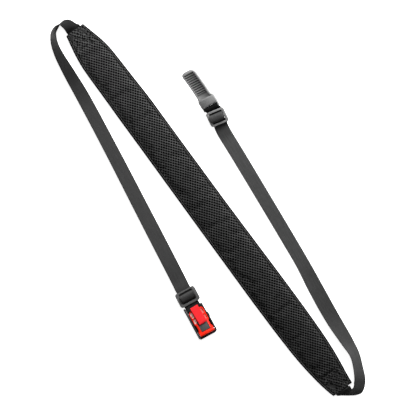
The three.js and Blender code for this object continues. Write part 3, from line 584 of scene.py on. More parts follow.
@dataclass(frozen=True)
class BareMetal(Finish):
    """Drawn or stamped metal with fine marks and rubbed edges."""

    name: str
    colour: Colour
    roughness: float = 0.3
    metallic: float = 1.0
    wear: float = 0.5

    def material(self) -> bpy.types.Material:
        """Builds the material."""
        material, sheet, shader = self.start(self.name)
        place = sheet.place()
        grain = sheet.group(effects().grain, place, Scale=5200.0)
        wear = self.worn_edges(sheet, place, self.wear)
        body = sheet.blend(grain.outputs["Mottle"], tinted(self.colour, 0.6), self.colour)
        body = sheet.blend(wear, body, tinted(self.colour, 1.7))
        sheet.wire(body, shader.inputs["Base Color"])
        rough = sheet.math("MULTIPLY_ADD", grain.outputs["Height"], 0.2, self.roughness - 0.1)
        sheet.wire(rough, shader.inputs["Roughness"])
        shader.inputs["Metallic"].default_value = self.metallic
        sheet.relief(grain.outputs["Height"], shader, 0.00003, 0.3)
        return material


# ---- mesh helpers ----


def stand(name: str, data: bpy.types.ID) -> bpy.types.Object:
    """Puts a mesh, light or camera into the scene as an object."""
    made = bpy.data.objects.new(name, data)
    bpy.context.scene.collection.objects.link(made)
    return made


def new_piece(
    name: str,
    points: np.ndarray,
    faces: Sequence[Sequence[int]],
    materials: Sequence[bpy.types.Material],
    fabric: np.ndarray | None = None,
    slots: Sequence[int] | None = None,
    painted_shade: np.ndarray | None = None,
    smooth_angle: float = 50.0,
) -> bpy.types.Object:
    """Makes a piece from points in millimetres, with its faces turned outwards.

    Args:
        name: the piece's name.
        points: one row of x, y and z for each point, in the row frame.
        faces: point numbers of each face.
        materials: the piece's materials.
        fabric: each point's place on the flat fabric, in metres.
        slots: each face's material number.
        painted_shade: each point's mask of painted shade from 0 to 1.
        smooth_angle: edges sharper than this many degrees stay sharp.

    Returns:
        The new object.
    """
    mesh = bpy.data.meshes.new(name)
    mesh.from_pydata((np.asarray(points, float) * MM).tolist(), [], [list(face) for face in faces])
    if slots is not None:
        mesh.polygons.foreach_set("material_index", [int(slot) for slot in slots])
    if fabric is not None:
        layer = mesh.uv_layers.new(name=FABRIC_MAP)
        corners = np.zeros(len(mesh.loops), np.int32)
        mesh.loops.foreach_get("vertex_index", corners)
        layer.data.foreach_set("uv", np.asarray(fabric, np.float32)[corners].ravel())
    if painted_shade is not None:
        attribute = mesh.attributes.new(PAINTED_SHADE_ATTRIBUTE, "FLOAT", "POINT")
        attribute.data.foreach_set("value", np.asarray(painted_shade, np.float32))
    form = bmesh.new()
    form.from_mesh(mesh)
    bmesh.ops.recalc_face_normals(form, faces=form.faces)
    form.to_mesh(mesh)
    form.free()
    mesh.shade_smooth()
    mesh.set_sharp_from_angle(angle=math.radians(smooth_angle))
    for material in materials:
        mesh.materials.append(material)
    return stand(name, mesh)


def band(start: int, count: int) -> list[tuple[int, ...]]:
    """Faces between a ring of points and the ring that follows it.

    Args:
        start: the first ring's first point.
        count: how many points a ring has.

    Returns:
        The faces' point numbers.
    """
    faces = []
    for side in range(count):
        a, b = start + side, start + (side + 1) % count
        faces.append((a, b, b + count, a + count))
    return faces


def hermite(
    first: np.ndarray, second: np.ndarray, leave: np.ndarray, arrive: np.ndarray, share: float
) -> np.ndarray:
    """Point at a share of the way along a span.

    Args:
        first: the span's start.
        second: the span's end.
        leave: the tangent at its start.
        arrive: the tangent at its end.
        share: from 0 to 1.

    Returns:
        The point.
    """
    square = share * share
    cube = square * share
    return (
        first * (2 * cube - 3 * square + 1)
        + leave * (cube - 2 * square + share)
        + second * (3 * square - 2 * cube)
        + arrive * (cube - square)
    )


@dataclass
class SmoothLine:
    """A smooth curve through points: centripetal where even is False, and evenly spaced where it is True."""

    points: np.ndarray
    even: bool = False

    SHORTEST = 1e-4

    def at(self, span: int, share: float) -> np.ndarray:
        """Point on a span.

        Args:
            span: the span's number.
            share: from 0 at its start to 1 at its end.

        Returns:
            The point.
        """
        points = self.points
        first, second = points[span], points[span + 1]
        before = points[span - 1] if span > 0 else 2 * first - second
        after = points[span + 2] if span + 2 < len(points) else 2 * second - first
        if self.even:
            return hermite(first, second, (second - before) / 2, (after - first) / 2, share)
        pairs = ((before, first), (first, second), (second, after))
        lengths = [math.sqrt(float(np.linalg.norm(b - a))) for a, b in pairs]
        middle = lengths[1] if lengths[1] > self.SHORTEST else 1.0
        start = lengths[0] if lengths[0] > self.SHORTEST else middle
        end = lengths[2] if lengths[2] > self.SHORTEST else middle
        leave = (first - before) / start - (second - before) / (start + middle) + (second - first) / middle
        arrive = (second - first) / middle - (after - first) / (middle + end) + (after - second) / end
        return hermite(first, second, leave * middle, arrive * middle, share)


def tape_section(width: float, thickness: float, ribs: int, rib_depth: float) -> list[tuple[float, float]]:
    """Rounded outline of a tape with fine ribs along it.

    Args:
        width: the tape's width.
        thickness: the tape's thickness.
        ribs: how many ribs lie side by side.
        rib_depth: how far the ribs stand out.

    Returns:
        Places across and up, once round the outline.
    """
    radius = thickness / 2
    flat = width / 2 - radius
    count = 2 * ribs
    outline = []
    for side in (1, -1):
        for step in range(count + 1):
            across = -flat + 2 * flat * step / count
            lift = 0.0 if step % 2 else -rib_depth
            outline.append((side * -across, side * (radius + lift)))
        for angle in (45, 90, 135):
            turn = math.radians(angle)
            outline.append((side * (-flat - radius * math.sin(turn)), side * radius * math.cos(turn)))
    return outline


class Station(NamedTuple):
    """A place on a tape's middle line and the direction across it."""

    point: np.ndarray
    across: np.ndarray


@dataclass
class Tape:
    """A strip of woven tape laid along stations."""

    name: str
    stations: list[Station]
    width: float
    thickness: float
    ribs: int = 10
    rib_depth: float = 0.05
    step: float = 1.5

    def rings(self) -> tuple[np.ndarray, np.ndarray]:
        """Outline points at each step, and the distance along at each.

        Returns:
            Points as rings x outline x 3, and distances, in millimetres.
        """
        centres = SmoothLine(np.array([station.point for station in self.stations]))
        edges = SmoothLine(np.array([station.across for station in self.stations]), even=True)
        middle, across = [], []
        for span in range(len(self.stations) - 1):
            reach = float(np.linalg.norm(centres.points[span + 1] - centres.points[span]))
            steps = max(2, round(reach / self.step))
            for step in range(steps):
                middle.append(centres.at(span, step / steps))
                across.append(edges.at(span, step / steps))
        middle.append(centres.points[-1])
        across.append(edges.points[-1])
        line, side = np.array(middle), np.array(across)
        along = np.gradient(line, axis=0)
        side /= np.linalg.norm(side, axis=1, keepdims=True)
        up = np.cross(along, side)
        up /= np.linalg.norm(up, axis=1, keepdims=True)
        distance = np.concatenate([[0.0], np.cumsum(np.linalg.norm(np.diff(line, axis=0), axis=1))])
        outline = np.array(tape_section(self.width, self.thickness, self.ribs, self.rib_depth))
        points = (
            line[:, None, :] + side[:, None, :] * outline[None, :, :1] + up[:, None, :] * outline[None, :, 1:]
        )
        return points, distance

    def build(self, material: bpy.types.Material) -> tuple[bpy.types.Object, float]:
        """Makes the tape.

        Args:
            material: its finish.

        Returns:
            The piece and its length in metres.
        """
        points, distance = self.rings()
        rings, count = points.shape[:2]
        faces = [face for ring in range(rings - 1) for face in band(ring * count, count)]
        last = (rings - 1) * count
        faces.append(tuple(range(count - 1, -1, -1)))
        faces.append(tuple(range(last, last + count)))
        outline = tape_section(self.width, self.thickness, self.ribs, self.rib_depth)
        fabric = [(across * MM, at * MM) for at in distance for across, _ in outline]
        piece = new_piece(self.name, points.reshape(-1, 3), faces, [material], np.array(fabric))
        return piece, float(distance[-1]) * MM


class Seat(NamedTuple):
    """Where one stitch lies: its middle, the way it runs and the way it faces."""

    place: np.ndarray
    along: np.ndarray
    up: np.ndarray


@dataclass
class Stitches:
    """Separate stitches of thread, each sunk into the cloth at both ends."""

    name: str
    seats: list[Seat]
    length: float = 2.3
    radius: float = 0.24
    lift: float = 0.12

    SIDES = 6
    PROFILE = ((-1.0, 0.25, -0.9), (-0.72, 0.9, 0.0), (0.0, 1.0, 1.0), (0.72, 0.9, 0.0), (1.0, 0.25, -0.9))

    def build(self, material: bpy.types.Material) -> bpy.types.Object:
        """Makes all the stitches as one piece."""
        points, faces, fabric = [], [], []
        for seat in self.seats:
            along = seat.along / np.linalg.norm(seat.along)
            up = seat.up - along * float(np.dot(seat.up, along))
            up /= np.linalg.norm(up)
            side = np.cross(up, along)
            base = len(points)
            for reach, size, height in self.PROFILE:
                centre = seat.place + along * reach * self.length / 2 + up * self.lift * height
                for corner in range(self.SIDES):
                    turn = math.tau * corner / self.SIDES
                    offset = side * math.cos(turn) + up * math.sin(turn)
                    points.append(centre + offset * self.radius * size)
                    fabric.append((corner * 0.0004, reach * self.length / 2 * MM))
            for ring in range(len(self.PROFILE) - 1):
                faces += band(base + ring * self.SIDES, self.SIDES)
            last = base + (len(self.PROFILE) - 1) * self.SIDES
            faces.append(tuple(range(base + self.SIDES - 1, base - 1, -1)))
            faces.append(tuple(range(last, last + self.SIDES)))
        return new_piece(self.name, np.array(points), faces, [material], np.array(fabric), smooth_angle=80)


# ---- how the strap lies ----


class EndPose(NamedTuple):
    """Where a slider's centre bar stands and how that end of the strap leans, in millimetres and degrees."""

    x: float
    y: float
    height: float
    heading: float
    roll: float
    pitch: float
    strap_shift: float
    slider_shift: float
    slider_turn: float

    def matrix(self, shift: Vector) -> Matrix:
        """Frame whose X runs to the fitting, Y to the left and Z up, moved by the row frame's shift."""
        turn = Euler(
            (math.radians(self.roll), math.radians(-self.pitch), math.radians(self.heading)), "XYZ"
        ).to_matrix()
        return Matrix.Translation(Vector((self.x, self.y, self.height)) + shift) @ turn.to_4x4()


BUCKLE_END = EndPose(
    x=-26.8, y=-117.4, height=1.6, heading=-61.6, roll=-6, pitch=0,
    strap_shift=-0.6, slider_shift=-0.5, slider_turn=0,
)
TONGUE_END = EndPose(
    x=13.3, y=120.3, height=4.2, heading=120.2, roll=-22, pitch=6,
    strap_shift=2.2, slider_shift=-1.1, slider_turn=-5,
)


class Lean(NamedTuple):
    """One section of webbing: its middle, the direction across it and how far it has turned over."""

    x: float
    y: float
    aim: float
    roll: float


BUCKLE_RUN = tuple(
    Lean(*row)
    for row in (
        (-180.5, 237.8, 215.6, 31), (-185.9, 241.9, 227, 45), (-190.2, 243.2, 233, 59),
        (-192.9, 242.7, 237, 72), (-195.3, 240.9, 222, 83), (-199.5, 236.5, 330, 102),
        (-202.7, 230.6, 349, 106), (-203, 225.3, 360, 111), (-201.2, 214.8, 373, 116),
        (-195.9, 201.6, 383, 124), (-182.8, 177.9, 389, 138), (-164.5, 146.3, 389, 150),
        (-126.6, 75.3, 388, 156), (-85.8, -3.7, 387, 165), (-65.4, -43.2, 387, 171),
        (-45.1, -82.6, 387.5, 173), (-37.1, -98.4, 388.4, 174),
    )
)
TONGUE_RUN = tuple(
    Lean(*row)
    for row in (
        (181, -240.6, 51, 32), (184.7, -241.4, 64, 50), (188.5, -242.5, 86, 64), (192.4, -241.9, 115, 60),
        (197.4, -238.8, 143, 46), (199.5, -231.7, 167, 42), (199.9, -224.8, 183, 43.5),
        (197.4, -209, 191, 50), (193.1, -193.2, 198, 49), (184, -177.4, 210, 36),
        (164.2, -145.8, 211, 12), (142.1, -106.3, 209, -8), (125.4, -74.7, 208, -25),
        (107, -43.2, 210, -26), (59.9, 35.8, 211, -25), (36.1, 75.3, 209, -24), (21.7, 98.8, 209.5, -22),
    )
)


class Crossing(NamedTuple):
    """A place on the webbing's middle line at a slider: distance past the centre bar, and height."""

    s: float
    z: float


SLIDER_CROSSING = tuple(
    Crossing(s=s, z=z)
    for s, z in (
        (-14, 2.6), (-9.4, 3.8), (-7.5, 3.9), (-6.2, 4.4), (-5.3, 5.6), (-4.8, 7), (-4.2, 8.5), (-3.2, 9.6),
        (-1.8, 10.1), (0, 10.2), (1.8, 10.1), (3.2, 9.6), (4.2, 8.5), (4.8, 7), (5.3, 5.6), (6.3, 4.4),
        (7.6, 4), (10.4, 4.05),
    )
)
SEWN_LOOP = tuple(
    Crossing(s=s, z=z)
    for s, z in (
        (8, 0.7), (3, 0.7), (-0.6, 0.7), (-2, 1.3), (-2.5, 2.6), (-2.55, 5), (-2.55, 7.2), (-2.2, 8.05),
        (-1.3, 8.35), (1.3, 8.35), (2.2, 8.05), (2.55, 7.2), (2.55, 5), (2.55, 4.2), (2.9, 3), (4.2, 2.45),
        (7, 2.4), (10.4, 2.4),
    )
)


# The pin's middle in the buckle end's own frame.
PIN_PLACE = (52.7, 0.0, 9.4)


def row_shift() -> Vector:
    """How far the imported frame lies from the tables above, in millimetres, by the buckle's pin."""
    low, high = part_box("lever_pivot_pin")
    pin = BUCKLE_END.matrix(Vector()) @ Vector(PIN_PLACE)
    return (low + high) / 2 / MM - pin


# ---- shoulder pad ----


class PadSection(NamedTuple):
    """A cross-section of the pad: distance along, half width, shift to the left and crown height."""

    along: float
    half: float
    shift: float
    crown: float


PAD_SECTIONS = tuple(
    PadSection(*row)
    for row in (
        (0, 13.6, 0, 5.8), (17, 17.6, 0.4, 6.2), (35, 21.5, 1, 7), (52, 23, 1.1, 7.8),
        (92, 23.6, 1.4, 8.4), (130, 24.5, 1.7, 8.6), (180, 24.4, 1.3, 8.6), (300, 24.7, 0.3, 8.6),
        (425, 25.5, 0, 8.6), (475, 25.3, 0, 8.5), (514, 24.4, 0, 8.2), (535, 23.1, 0.1, 7.8),
        (557, 20.6, 0.2, 7), (568, 19, 0.2, 6.6), (579, 17.1, 0.3, 6.2), (590, 15, 1.4, 5.8),
    )
)


class PadEnd(Enum):
    """The pad's two ends: which way each points along the pad, and its pocket's shift to the left."""

    UPPER = (-1, -0.8)
    LOWER = (1, 0.0)

    @property
    def way(self) -> int:
        """-1 at the start of the pad's length and 1 at its end."""
        return self.value[0]

    @property
    def shift(self) -> float:
        """The pocket's shift to the left."""
        return self.value[1]

    @property
    def label(self) -> str:
        """The end's plain name."""
        return self.name.lower()


@dataclass
class PadForm:
    """The pad's outer form: outline, crown, sewn grooves and the swelling of its filling."""

    length: float = 590.0
    edge: float = 2.8
    border: float = 4.3
    box_near: float = 4.0
    box_far: float = 27.0
    box_half: float = 8.6
    box_press: float = 0.55
    groove: float = 1.1
    groove_width: float = 1.2
    pucker: float = 0.9
    pucker_length: float = 4.5
    sections: tuple[PadSection, ...] = PAD_SECTIONS
    swell: np.ndarray | None = None

    # Over what length the outline is smoothed, and where its samples lie.
    EASE = 12.0
    SAMPLES = (-9.0, -4.5, 0.0, 4.5, 9.0)
    # How far outside the sewn box the cloth is still pressed, along and across, and over what distance its
    # crumpling fades beside the pad's edges.
    PRESS_END = 4
    PRESS_SIDE = 3
    PRESS_FADE = 4
    # Which slice of the noise crumples the ends.
    CRUMPLE_SLICE = 3.7

    def _column(self, name: str, along: float) -> float:
        """A section's value at a distance along, smoothed between the table's rows."""
        places = [section.along for section in self.sections]
        values = [getattr(section, name) for section in self.sections]
        ease = min(1.0, along / self.EASE, (self.length - along) / self.EASE)
        samples = [np.interp(along + offset * ease, places, values) for offset in self.SAMPLES]
        return float(np.mean(samples))

    def half(self, along: float) -> float:
        """Half width at a distance along."""
        return self._column("half", along)

    def shift(self, along: float) -> float:
        """Shift to the left at a distance along."""
        return self._column("shift", along)

    def from_end(self, along: float) -> tuple[float, PadEnd]:
        """Distance from the nearer end, and which end it is."""
        if along < self.length / 2:
            return along, PadEnd.UPPER
        return self.length - along, PadEnd.LOWER

    def sewn_lines(self) -> list[tuple[tuple[float, float], tuple[float, float]]]:
        """The box and cross sewn at each end, as lines between (distance from the end, distance across)."""
        near, far, half = self.box_near, self.box_far, self.box_half
        return [
            ((near, -half), (near, half)),
            ((near, half), (far, half)),
            ((far, half), (far, -half)),
            ((far, -half), (near, -half)),
            ((near, -half), (far, half)),
            ((near, half), (far, -half)),
        ]

    def press(self, along: float, across: float) -> float:
        """How far the sewing pulls the top down at a place."""
        inward, end = self.from_end(along)
        if inward > self.box_far + 2 * self.PRESS_END:
            return 0.0
        place = np.array((inward, across - end.shift))
        nearest = math.inf
        for start, stop in self.sewn_lines():
            a, b = np.array(start), np.array(stop)
            share = float(np.clip(np.dot(place - a, b - a) / np.dot(b - a, b - a), 0, 1))
            nearest = min(nearest, float(np.linalg.norm(place - a - (b - a) * share)))
        fall_across = np.clip((self.box_half + self.PRESS_SIDE - abs(place[1])) / self.PRESS_SIDE, 0, 1)
        fall_along = np.clip((self.box_far + self.PRESS_END - inward) / self.PRESS_END, 0, 1)
        inside = self.half(along) - self.PRESS_SIDE - abs(place[1])
        fall_edge = float(np.clip(inside / self.PRESS_FADE, 0, 1))
        pressed = self.box_press * fall_across * fall_along
        spot = Vector((along / self.pucker_length, across / self.pucker_length, self.CRUMPLE_SLICE))
        crumpled = self.pucker * noise.noise(spot) * fall_along * fall_edge
        return float(pressed + crumpled + self.groove * math.exp(-((nearest / self.groove_width) ** 2)))

    def crown_height(self, along: float, across: float) -> float:
        """Height of the plain crowned top at a place across from the axis."""
        part = min(1.0, abs(across - self.shift(along)) / self.half(along))
        crown = self._column("crown", along)
        return self.edge + (crown - self.edge) * math.sqrt(max(0.0, 1 - part**3))

    def top(self, along: float, across: float) -> float:
        """Height of the finished top at a place."""
        part = (across - self.shift(along)) / self.half(along)
        height = self.crown_height(along, across)
        if self.swell is not None:
            rows, columns = self.swell.shape
            row = np.clip(along / self.length * (rows - 1), 0, rows - 1.001)
            column = np.clip((part + 1) / 2 * (columns - 1), 0, columns - 1.001)
            i, j = int(row), int(column)
            u, v = row - i, column - j
            u, v = u * u * (3 - 2 * u), v * v * (3 - 2 * v)
            grid = self.swell
            height += (grid[i, j] * (1 - u) + grid[i + 1, j] * u) * (1 - v) + (
                grid[i, j + 1] * (1 - u) + grid[i + 1, j + 1] * u
            ) * v
        fade = float(np.clip((1 - abs(part)) * 6, 0, 1))
        return height - self.press(along, across) * fade


@dataclass
class PadFilling:
    """Blows a coarse copy of the pad up as cloth, held at its seams, to find how its top swells."""

    form: PadForm
    rows: int = 112
    columns: int = 16
    pressure: float = 4.0
    frames: int = 20
    cap: float = 1.1
    start: float = 0.93
    slack: float = -0.02

    CLOTH = {
        "quality": 5, "mass": 0.15, "tension_stiffness": 12, "compression_stiffness": 12,
        "shear_stiffness": 6, "bending_stiffness": 0.6,
    }
    # How much further than the box the sewn lines are pressed, and how firmly they and the rest are held.
    SEWN_PRESS = 0.18
    SEWN_HOLD = 0.85
    FREE_HOLD = 0.02

    def coarse_piece(self) -> bpy.types.Object:
        """The closed coarse copy with a group that holds its seams."""
        form, points, held = self.form, [], []
        for row in range(self.rows + 1):
            along = form.length * row / self.rows
            half, shift = form.half(along), form.shift(along)
            for column in range(self.columns + 1):
                across = shift + half * (2 * column / self.columns - 1)
                height = form.crown_height(along, across) * self.start - form.press(along, across)
                is_seam = column in (0, self.columns) or row in (0, self.rows)
                sewn = form.press(along, across) > form.box_press + self.SEWN_PRESS
                points.append((along, across, height))
                held.append(1.0 if is_seam else self.SEWN_HOLD if sewn else self.FREE_HOLD)
            for column in range(self.columns, -1, -1):
                across = shift + (half - 1) * (2 * column / self.columns - 1)
                points.append((along, across, 0.1))
                held.append(1.0)
        count = 2 * (self.columns + 1)
        faces = [face for row in range(self.rows) for face in band(row * count, count)]
        faces.append(tuple(range(count)))
        faces.append(tuple(range(self.rows * count, (self.rows + 1) * count)))
        piece = new_piece("pad_filling", np.array(points), faces, [])
        group = piece.vertex_groups.new(name="held")
        for index, weight in enumerate(held):
            group.add([index], weight, "REPLACE")
        return piece

    def top_places(self, mesh: bpy.types.Mesh) -> np.ndarray:
        """The top's points in millimetres, as rows x columns x 3."""
        places = np.zeros(len(mesh.vertices) * 3, np.float32)
        mesh.vertices.foreach_get("co", places)
        return places.reshape(self.rows + 1, 2 * (self.columns + 1), 3)[:, : self.columns + 1] / MM

    def swelling(self) -> np.ndarray:
        """Runs the cloth and measures the top.

        Returns:
            How far each point of the top ends above the plain form, in millimetres, as rows x columns.
        """
        piece = self.coarse_piece()
        modifier = piece.modifiers.new("cloth", "CLOTH")
        settings = modifier.settings
        for name, value in self.CLOTH.items():
            setattr(settings, name, value)
        settings.shrink_min = self.slack
        settings.use_pressure = True
        settings.uniform_pressure_force = self.pressure
        settings.vertex_group_mass = "held"
        settings.effector_weights.gravity = 0
        modifier.collision_settings.use_collision = False
        scene = bpy.context.scene
        scene.frame_start, scene.frame_end = 1, self.frames
        for step in range(1, self.frames + 1):
            scene.frame_set(step)
        shown = piece.evaluated_get(bpy.context.evaluated_depsgraph_get())
        before, after = self.top_places(piece.data), self.top_places(shown.data)
        moved = np.clip(after[..., 2] - before[..., 2], -self.cap, self.cap)
        plain = np.zeros(moved.shape)
        for row in range(self.rows + 1):
            along = self.form.length * row / self.rows
            for column in range(self.columns + 1):
                across = before[row, column, 1]
                plain[row, column] = self.form.crown_height(along, across) * (self.start - 1)
        scene.frame_set(1)
        mesh = piece.data
        bpy.data.objects.remove(piece)
        bpy.data.meshes.remove(mesh)
        return np.where(np.isfinite(moved), moved, 0.0) + plain


class CoverCloth(IntEnum):
    """The cloths of the pad's cover, by material number."""

    MESH = 0
    BINDING = 1
    BACK = 2


@dataclass
class Shell:
    """The pad's cover as it is put together, line by line across the pad."""

    pitch: float
    draw: random.Random
    points: list[tuple[float, float, float]] = field(default_factory=list)
    painted_shade: list[float] = field(default_factory=list)
    faces: list[tuple[int, ...]] = field(default_factory=list)
    cloths: list[CoverCloth] = field(default_factory=list)
    # Each line's panel points by half-pitch number, and its border points, right and left.
    lines: list[dict[int, int]] = field(default_factory=list)
    rims: list[tuple[list[int], list[int]]] = field(default_factory=list)

    def put(self, along: float, across: float, height: float, depth: float = 0.0) -> int:
        """Adds a point with its mask of painted shade and returns its number."""
        self.points.append((along, across, height))
        self.painted_shade.append(depth)
        return len(self.points) - 1

    def close(self, numbers: Sequence[int], cloth: CoverCloth = CoverCloth.MESH) -> None:
        """Adds a face."""
        self.faces.append(tuple(numbers))
        self.cloths.append(cloth)


@dataclass
class ShoulderPad:
    """The padded strap: a spacer mesh top with staggered holes, and a woven binding and back."""

    shift: Vector
    centre_x: float = 0.6
    centre_y: float = -3.0
    heading: float = -53.4
    row_pitch: float = 2.65
    hole_pitch: float = 4.1
    hole_long: float = 1.4
    hole_short: float = 1.25
    hole_slant: float = 37.7
    hole_depth: float = 1.3
    pocket_depth: float = 30.0
    pocket_floor: float = 1.9
    pocket_roof: float = 3.9
    pocket_half: float = 10.3
    rumple: float = 2.2
    seed: int = 11
    form: PadForm = field(default_factory=PadForm)

    # How far the panel keeps from the border and lies below the top, how far its ends keep in and are sewn
    # down, and the back's height.
    PANEL_MARGIN = 0.45
    PANEL_DROP = 0.1
    END_MARGIN = 0.4
    END_DROP = 0.3
    BACK_HEIGHT = 0.1
    # Size, depth and painted shade of a hole's rings, from its rim down to the black foam, how many sides
    # they have, and how far the rim stands above the top.
    HOLE_LEVELS = ((1.0, 0.0, 0.3), (0.9, 0.42, 0.9), (0.76, 1.0, 1.0))
    HOLE_SIDES = 8
    RIM_LIFT = 0.08
    # How far past the sewn box the knit is rumpled, over what distance that fades, how long the rumples are
    # and their slice of the noise.
    RUMPLE_PAST = 3
    RUMPLE_FADE = 6
    RUMPLE_LENGTH = 6
    RUMPLE_SLICE = 8.1
    # How far an end's lip stands in at its sides and from its top and back. The sides begin this far from the
    # pocket's middle, and the top and the back part at this height.
    LIP = 0.35
    LIP_DROP = 0.3
    LIP_BESIDE = 6
    LIP_SPLIT = 1.5
    # Where the binding's stitches start, how high they lie, and how far outward and upward they face.
    STITCH_START = 3
    STITCH_LIFT = 0.38
    STITCH_FACING = (0.35, 0.94)
    # Offset in from the edge, height above the crowned top and painted shade in the groove beside the
    # binding, inwards to outwards.
    BORDER_TOP = (
        (4.0, -0.4, 1.0), (3.6, -0.85, 1.0), (3.2, -0.4, 0.9), (2.7, 0.12, 0.3), (2.2, 0.2, 0.0),
        (1.8, -0.15, 0.0), (1.55, -0.05, 0.0), (0.9, -0.05, 0.0), (0.3, -0.35, 0.0),
    )
    # How much of the painted shade in the border's groove shows along the right and the left edge, looking
    # along
    # the pad from its upper end: more along the right edge, which lies away from the light.
    BORDER_SHADE = (1.0, 0.25)
    # Which of the border's points the binding starts at, and how many of the back's points it covers.
    BINDING_FROM = 6
    BINDING_BACK = 6
    # Offset in from the edge, and height, from the binding's edge to the back panel.
    BORDER_BACK = (
        (-0.15, 2.2), (-0.1, 1.5), (0.25, 0.75), (0.9, 0.2), (1.8, 0.0), (3.4, 0.0), (3.9, 0.35), (4.4, 0.15),
        (7.5, 0.1), (11.0, 0.1),
    )

    def placed(self, points: np.ndarray) -> np.ndarray:
        """Moves points from the pad's own frame, measured from its upper end, to the row frame."""
        turn = math.radians(self.heading)
        along = points[:, 0] - self.form.length / 2
        across = points[:, 1]
        x = self.centre_x + along * math.cos(turn) - across * math.sin(turn) + self.shift.x
        y = self.centre_y + along * math.sin(turn) + across * math.cos(turn) + self.shift.y
        return np.stack([x, y, points[:, 2] + self.shift.z], axis=1)

    def normal(self, along: float, across: float) -> np.ndarray:
        """The top's outward direction at a place, in the pad's own frame."""
        reach = 0.6
        first = self.form.top(along - reach, across) if along > reach else self.form.top(along, across)
        rise = (self.form.top(min(along + reach, self.form.length), across) - first) / (2 * reach)
        side = (self.form.top(along, across + reach) - self.form.top(along, across - reach)) / (2 * reach)
        direction = np.array((-rise, -side, 1.0))
        return direction / np.linalg.norm(direction)

    def cover(self, materials: Sequence[bpy.types.Material]) -> bpy.types.Object:
        """Makes the pad's cover with its holes, binding, back and pockets.

        Args:
            materials: the mesh, the binding and the back.

        Returns:
            The piece.
        """
        form, half_pitch = self.form, self.hole_pitch / 2
        rows = round(form.length / self.row_pitch)
        shell = Shell(form.length / rows, random.Random(self.seed))
        for row in range(rows + 1):
            along = min(max(row * shell.pitch, self.END_MARGIN), form.length - self.END_MARGIN)
            centre = form.shift(along)
            limit = form.half(along) - form.border
            first = math.ceil((centre - limit + self.PANEL_MARGIN) / half_pitch)
            last = math.floor((centre + limit - self.PANEL_MARGIN) / half_pitch)
            sewn_down = self.END_DROP if row in (1, rows - 1) else 0.0
            line = {}
            for step in range(first, last + 1):
                across = step * half_pitch
                line[step] = shell.put(along, across, form.top(along, across) - self.PANEL_DROP - sewn_down)
            shell.lines.append(line)
            shell.rims.append(self._rim(shell, along, sewn_down))
        for row in range(rows):
            self._panel_row(shell, row)
            self._border_row(shell, row)
        for end in PadEnd:
            self._end_face(shell, end)
        array = np.array(shell.points)
        fabric = (array[:, [1, 0]] + self.rumpling(array)) * MM
        placed = self.placed(array)
        name = "shoulder_pad_cover"
        painted_shade = np.array(shell.painted_shade)
        return new_piece(name, placed, shell.faces, materials, fabric, shell.cloths, painted_shade, smooth_angle=70)

    def rumpling(self, points: np.ndarray) -> np.ndarray:
        """How far the knit is pulled out of line near the sewn ends, across and along."""
        pulled = np.zeros((len(points), 2))
        for index, (along, across, _) in enumerate(points):
            inward = self.form.from_end(along)[0]
            reach = self.form.box_far + self.RUMPLE_PAST - inward
            share = float(np.clip(reach / self.RUMPLE_FADE, 0, 1))
            if share > 0:
                spot = Vector((along / self.RUMPLE_LENGTH, across / self.RUMPLE_LENGTH, self.RUMPLE_SLICE))
                pulled[index] = [noise.noise(at) * self.rumple * share for at in (spot, spot.yzx)]
        return pulled

    def _rim(self, shell: Shell, along: float, sewn_down: float) -> tuple[list[int], list[int]]:
        """Adds one line's border points, from the panel's edge round to the back.

        Args:
            shell: the cover so far.
            along: the line's distance along the pad.
            sewn_down: how far the line is sewn down.

        Returns:
            The points on the right and on the left.
        """
        form, sides = self.form, []
        centre = form.shift(along)
        for sign, shown in zip((-1, 1), self.BORDER_SHADE):
            edge = centre + sign * form.half(along)
            seam = edge - sign * form.border
            column = [shell.put(along, seam, form.top(along, seam) - self.PANEL_DROP)]
            for offset, lift, depth in self.BORDER_TOP:
                across = edge - sign * offset
                height = form.crown_height(along, across) + lift - sewn_down / 2
                column.append(shell.put(along, across, height, depth * shown))
            for offset, height in self.BORDER_BACK:
                column.append(shell.put(along, edge - sign * offset, height))
            sides.append(column)
        sides[0].append(shell.put(along, centre, self.BACK_HEIGHT))
        return sides[0], sides[1]

    def _panel_row(self, shell: Shell, row: int) -> None:
        """Fills the mesh panel between two lines with holed cells and the plain ground beside them.

        Args:
            shell: the cover so far.
            row: the number of the first line.
        """
        rows = len(shell.lines) - 1
        low, high = shell.lines[row], shell.lines[row + 1]
        shared = sorted(set(low) & set(high))
        centres = [step for step in shared if (step + row) % 2 == 0 and {step - 1, step + 1} <= set(shared)]
        if row < 2 or row >= rows - 2:
            centres = []
        for step in centres:
            self._hole(shell, row, step)
        if centres:
            spans = [(min(centres) - 1, -1), (max(centres) + 1, 1)]
        else:
            middle = shared[len(shared) // 2]
            spans = [(middle, -1), (middle, 1)]
        for start, sign in spans:
            side = 0 if sign < 0 else 1
            first = [low[step] for step in sorted(low) if (step - start) * sign >= 0]
            second = [high[step] for step in sorted(high) if (step - start) * sign >= 0]
            if sign < 0:
                first.reverse()
                second.reverse()
            first.append(shell.rims[row][side][0])
            second.append(shell.rims[row + 1][side][0])
            for i in range(max(len(first), len(second)) - 1):
                ways = ((first, i), (first, i + 1), (second, i + 1), (second, i))
                shell.close(dict.fromkeys(line[min(k, len(line) - 1)] for line, k in ways))

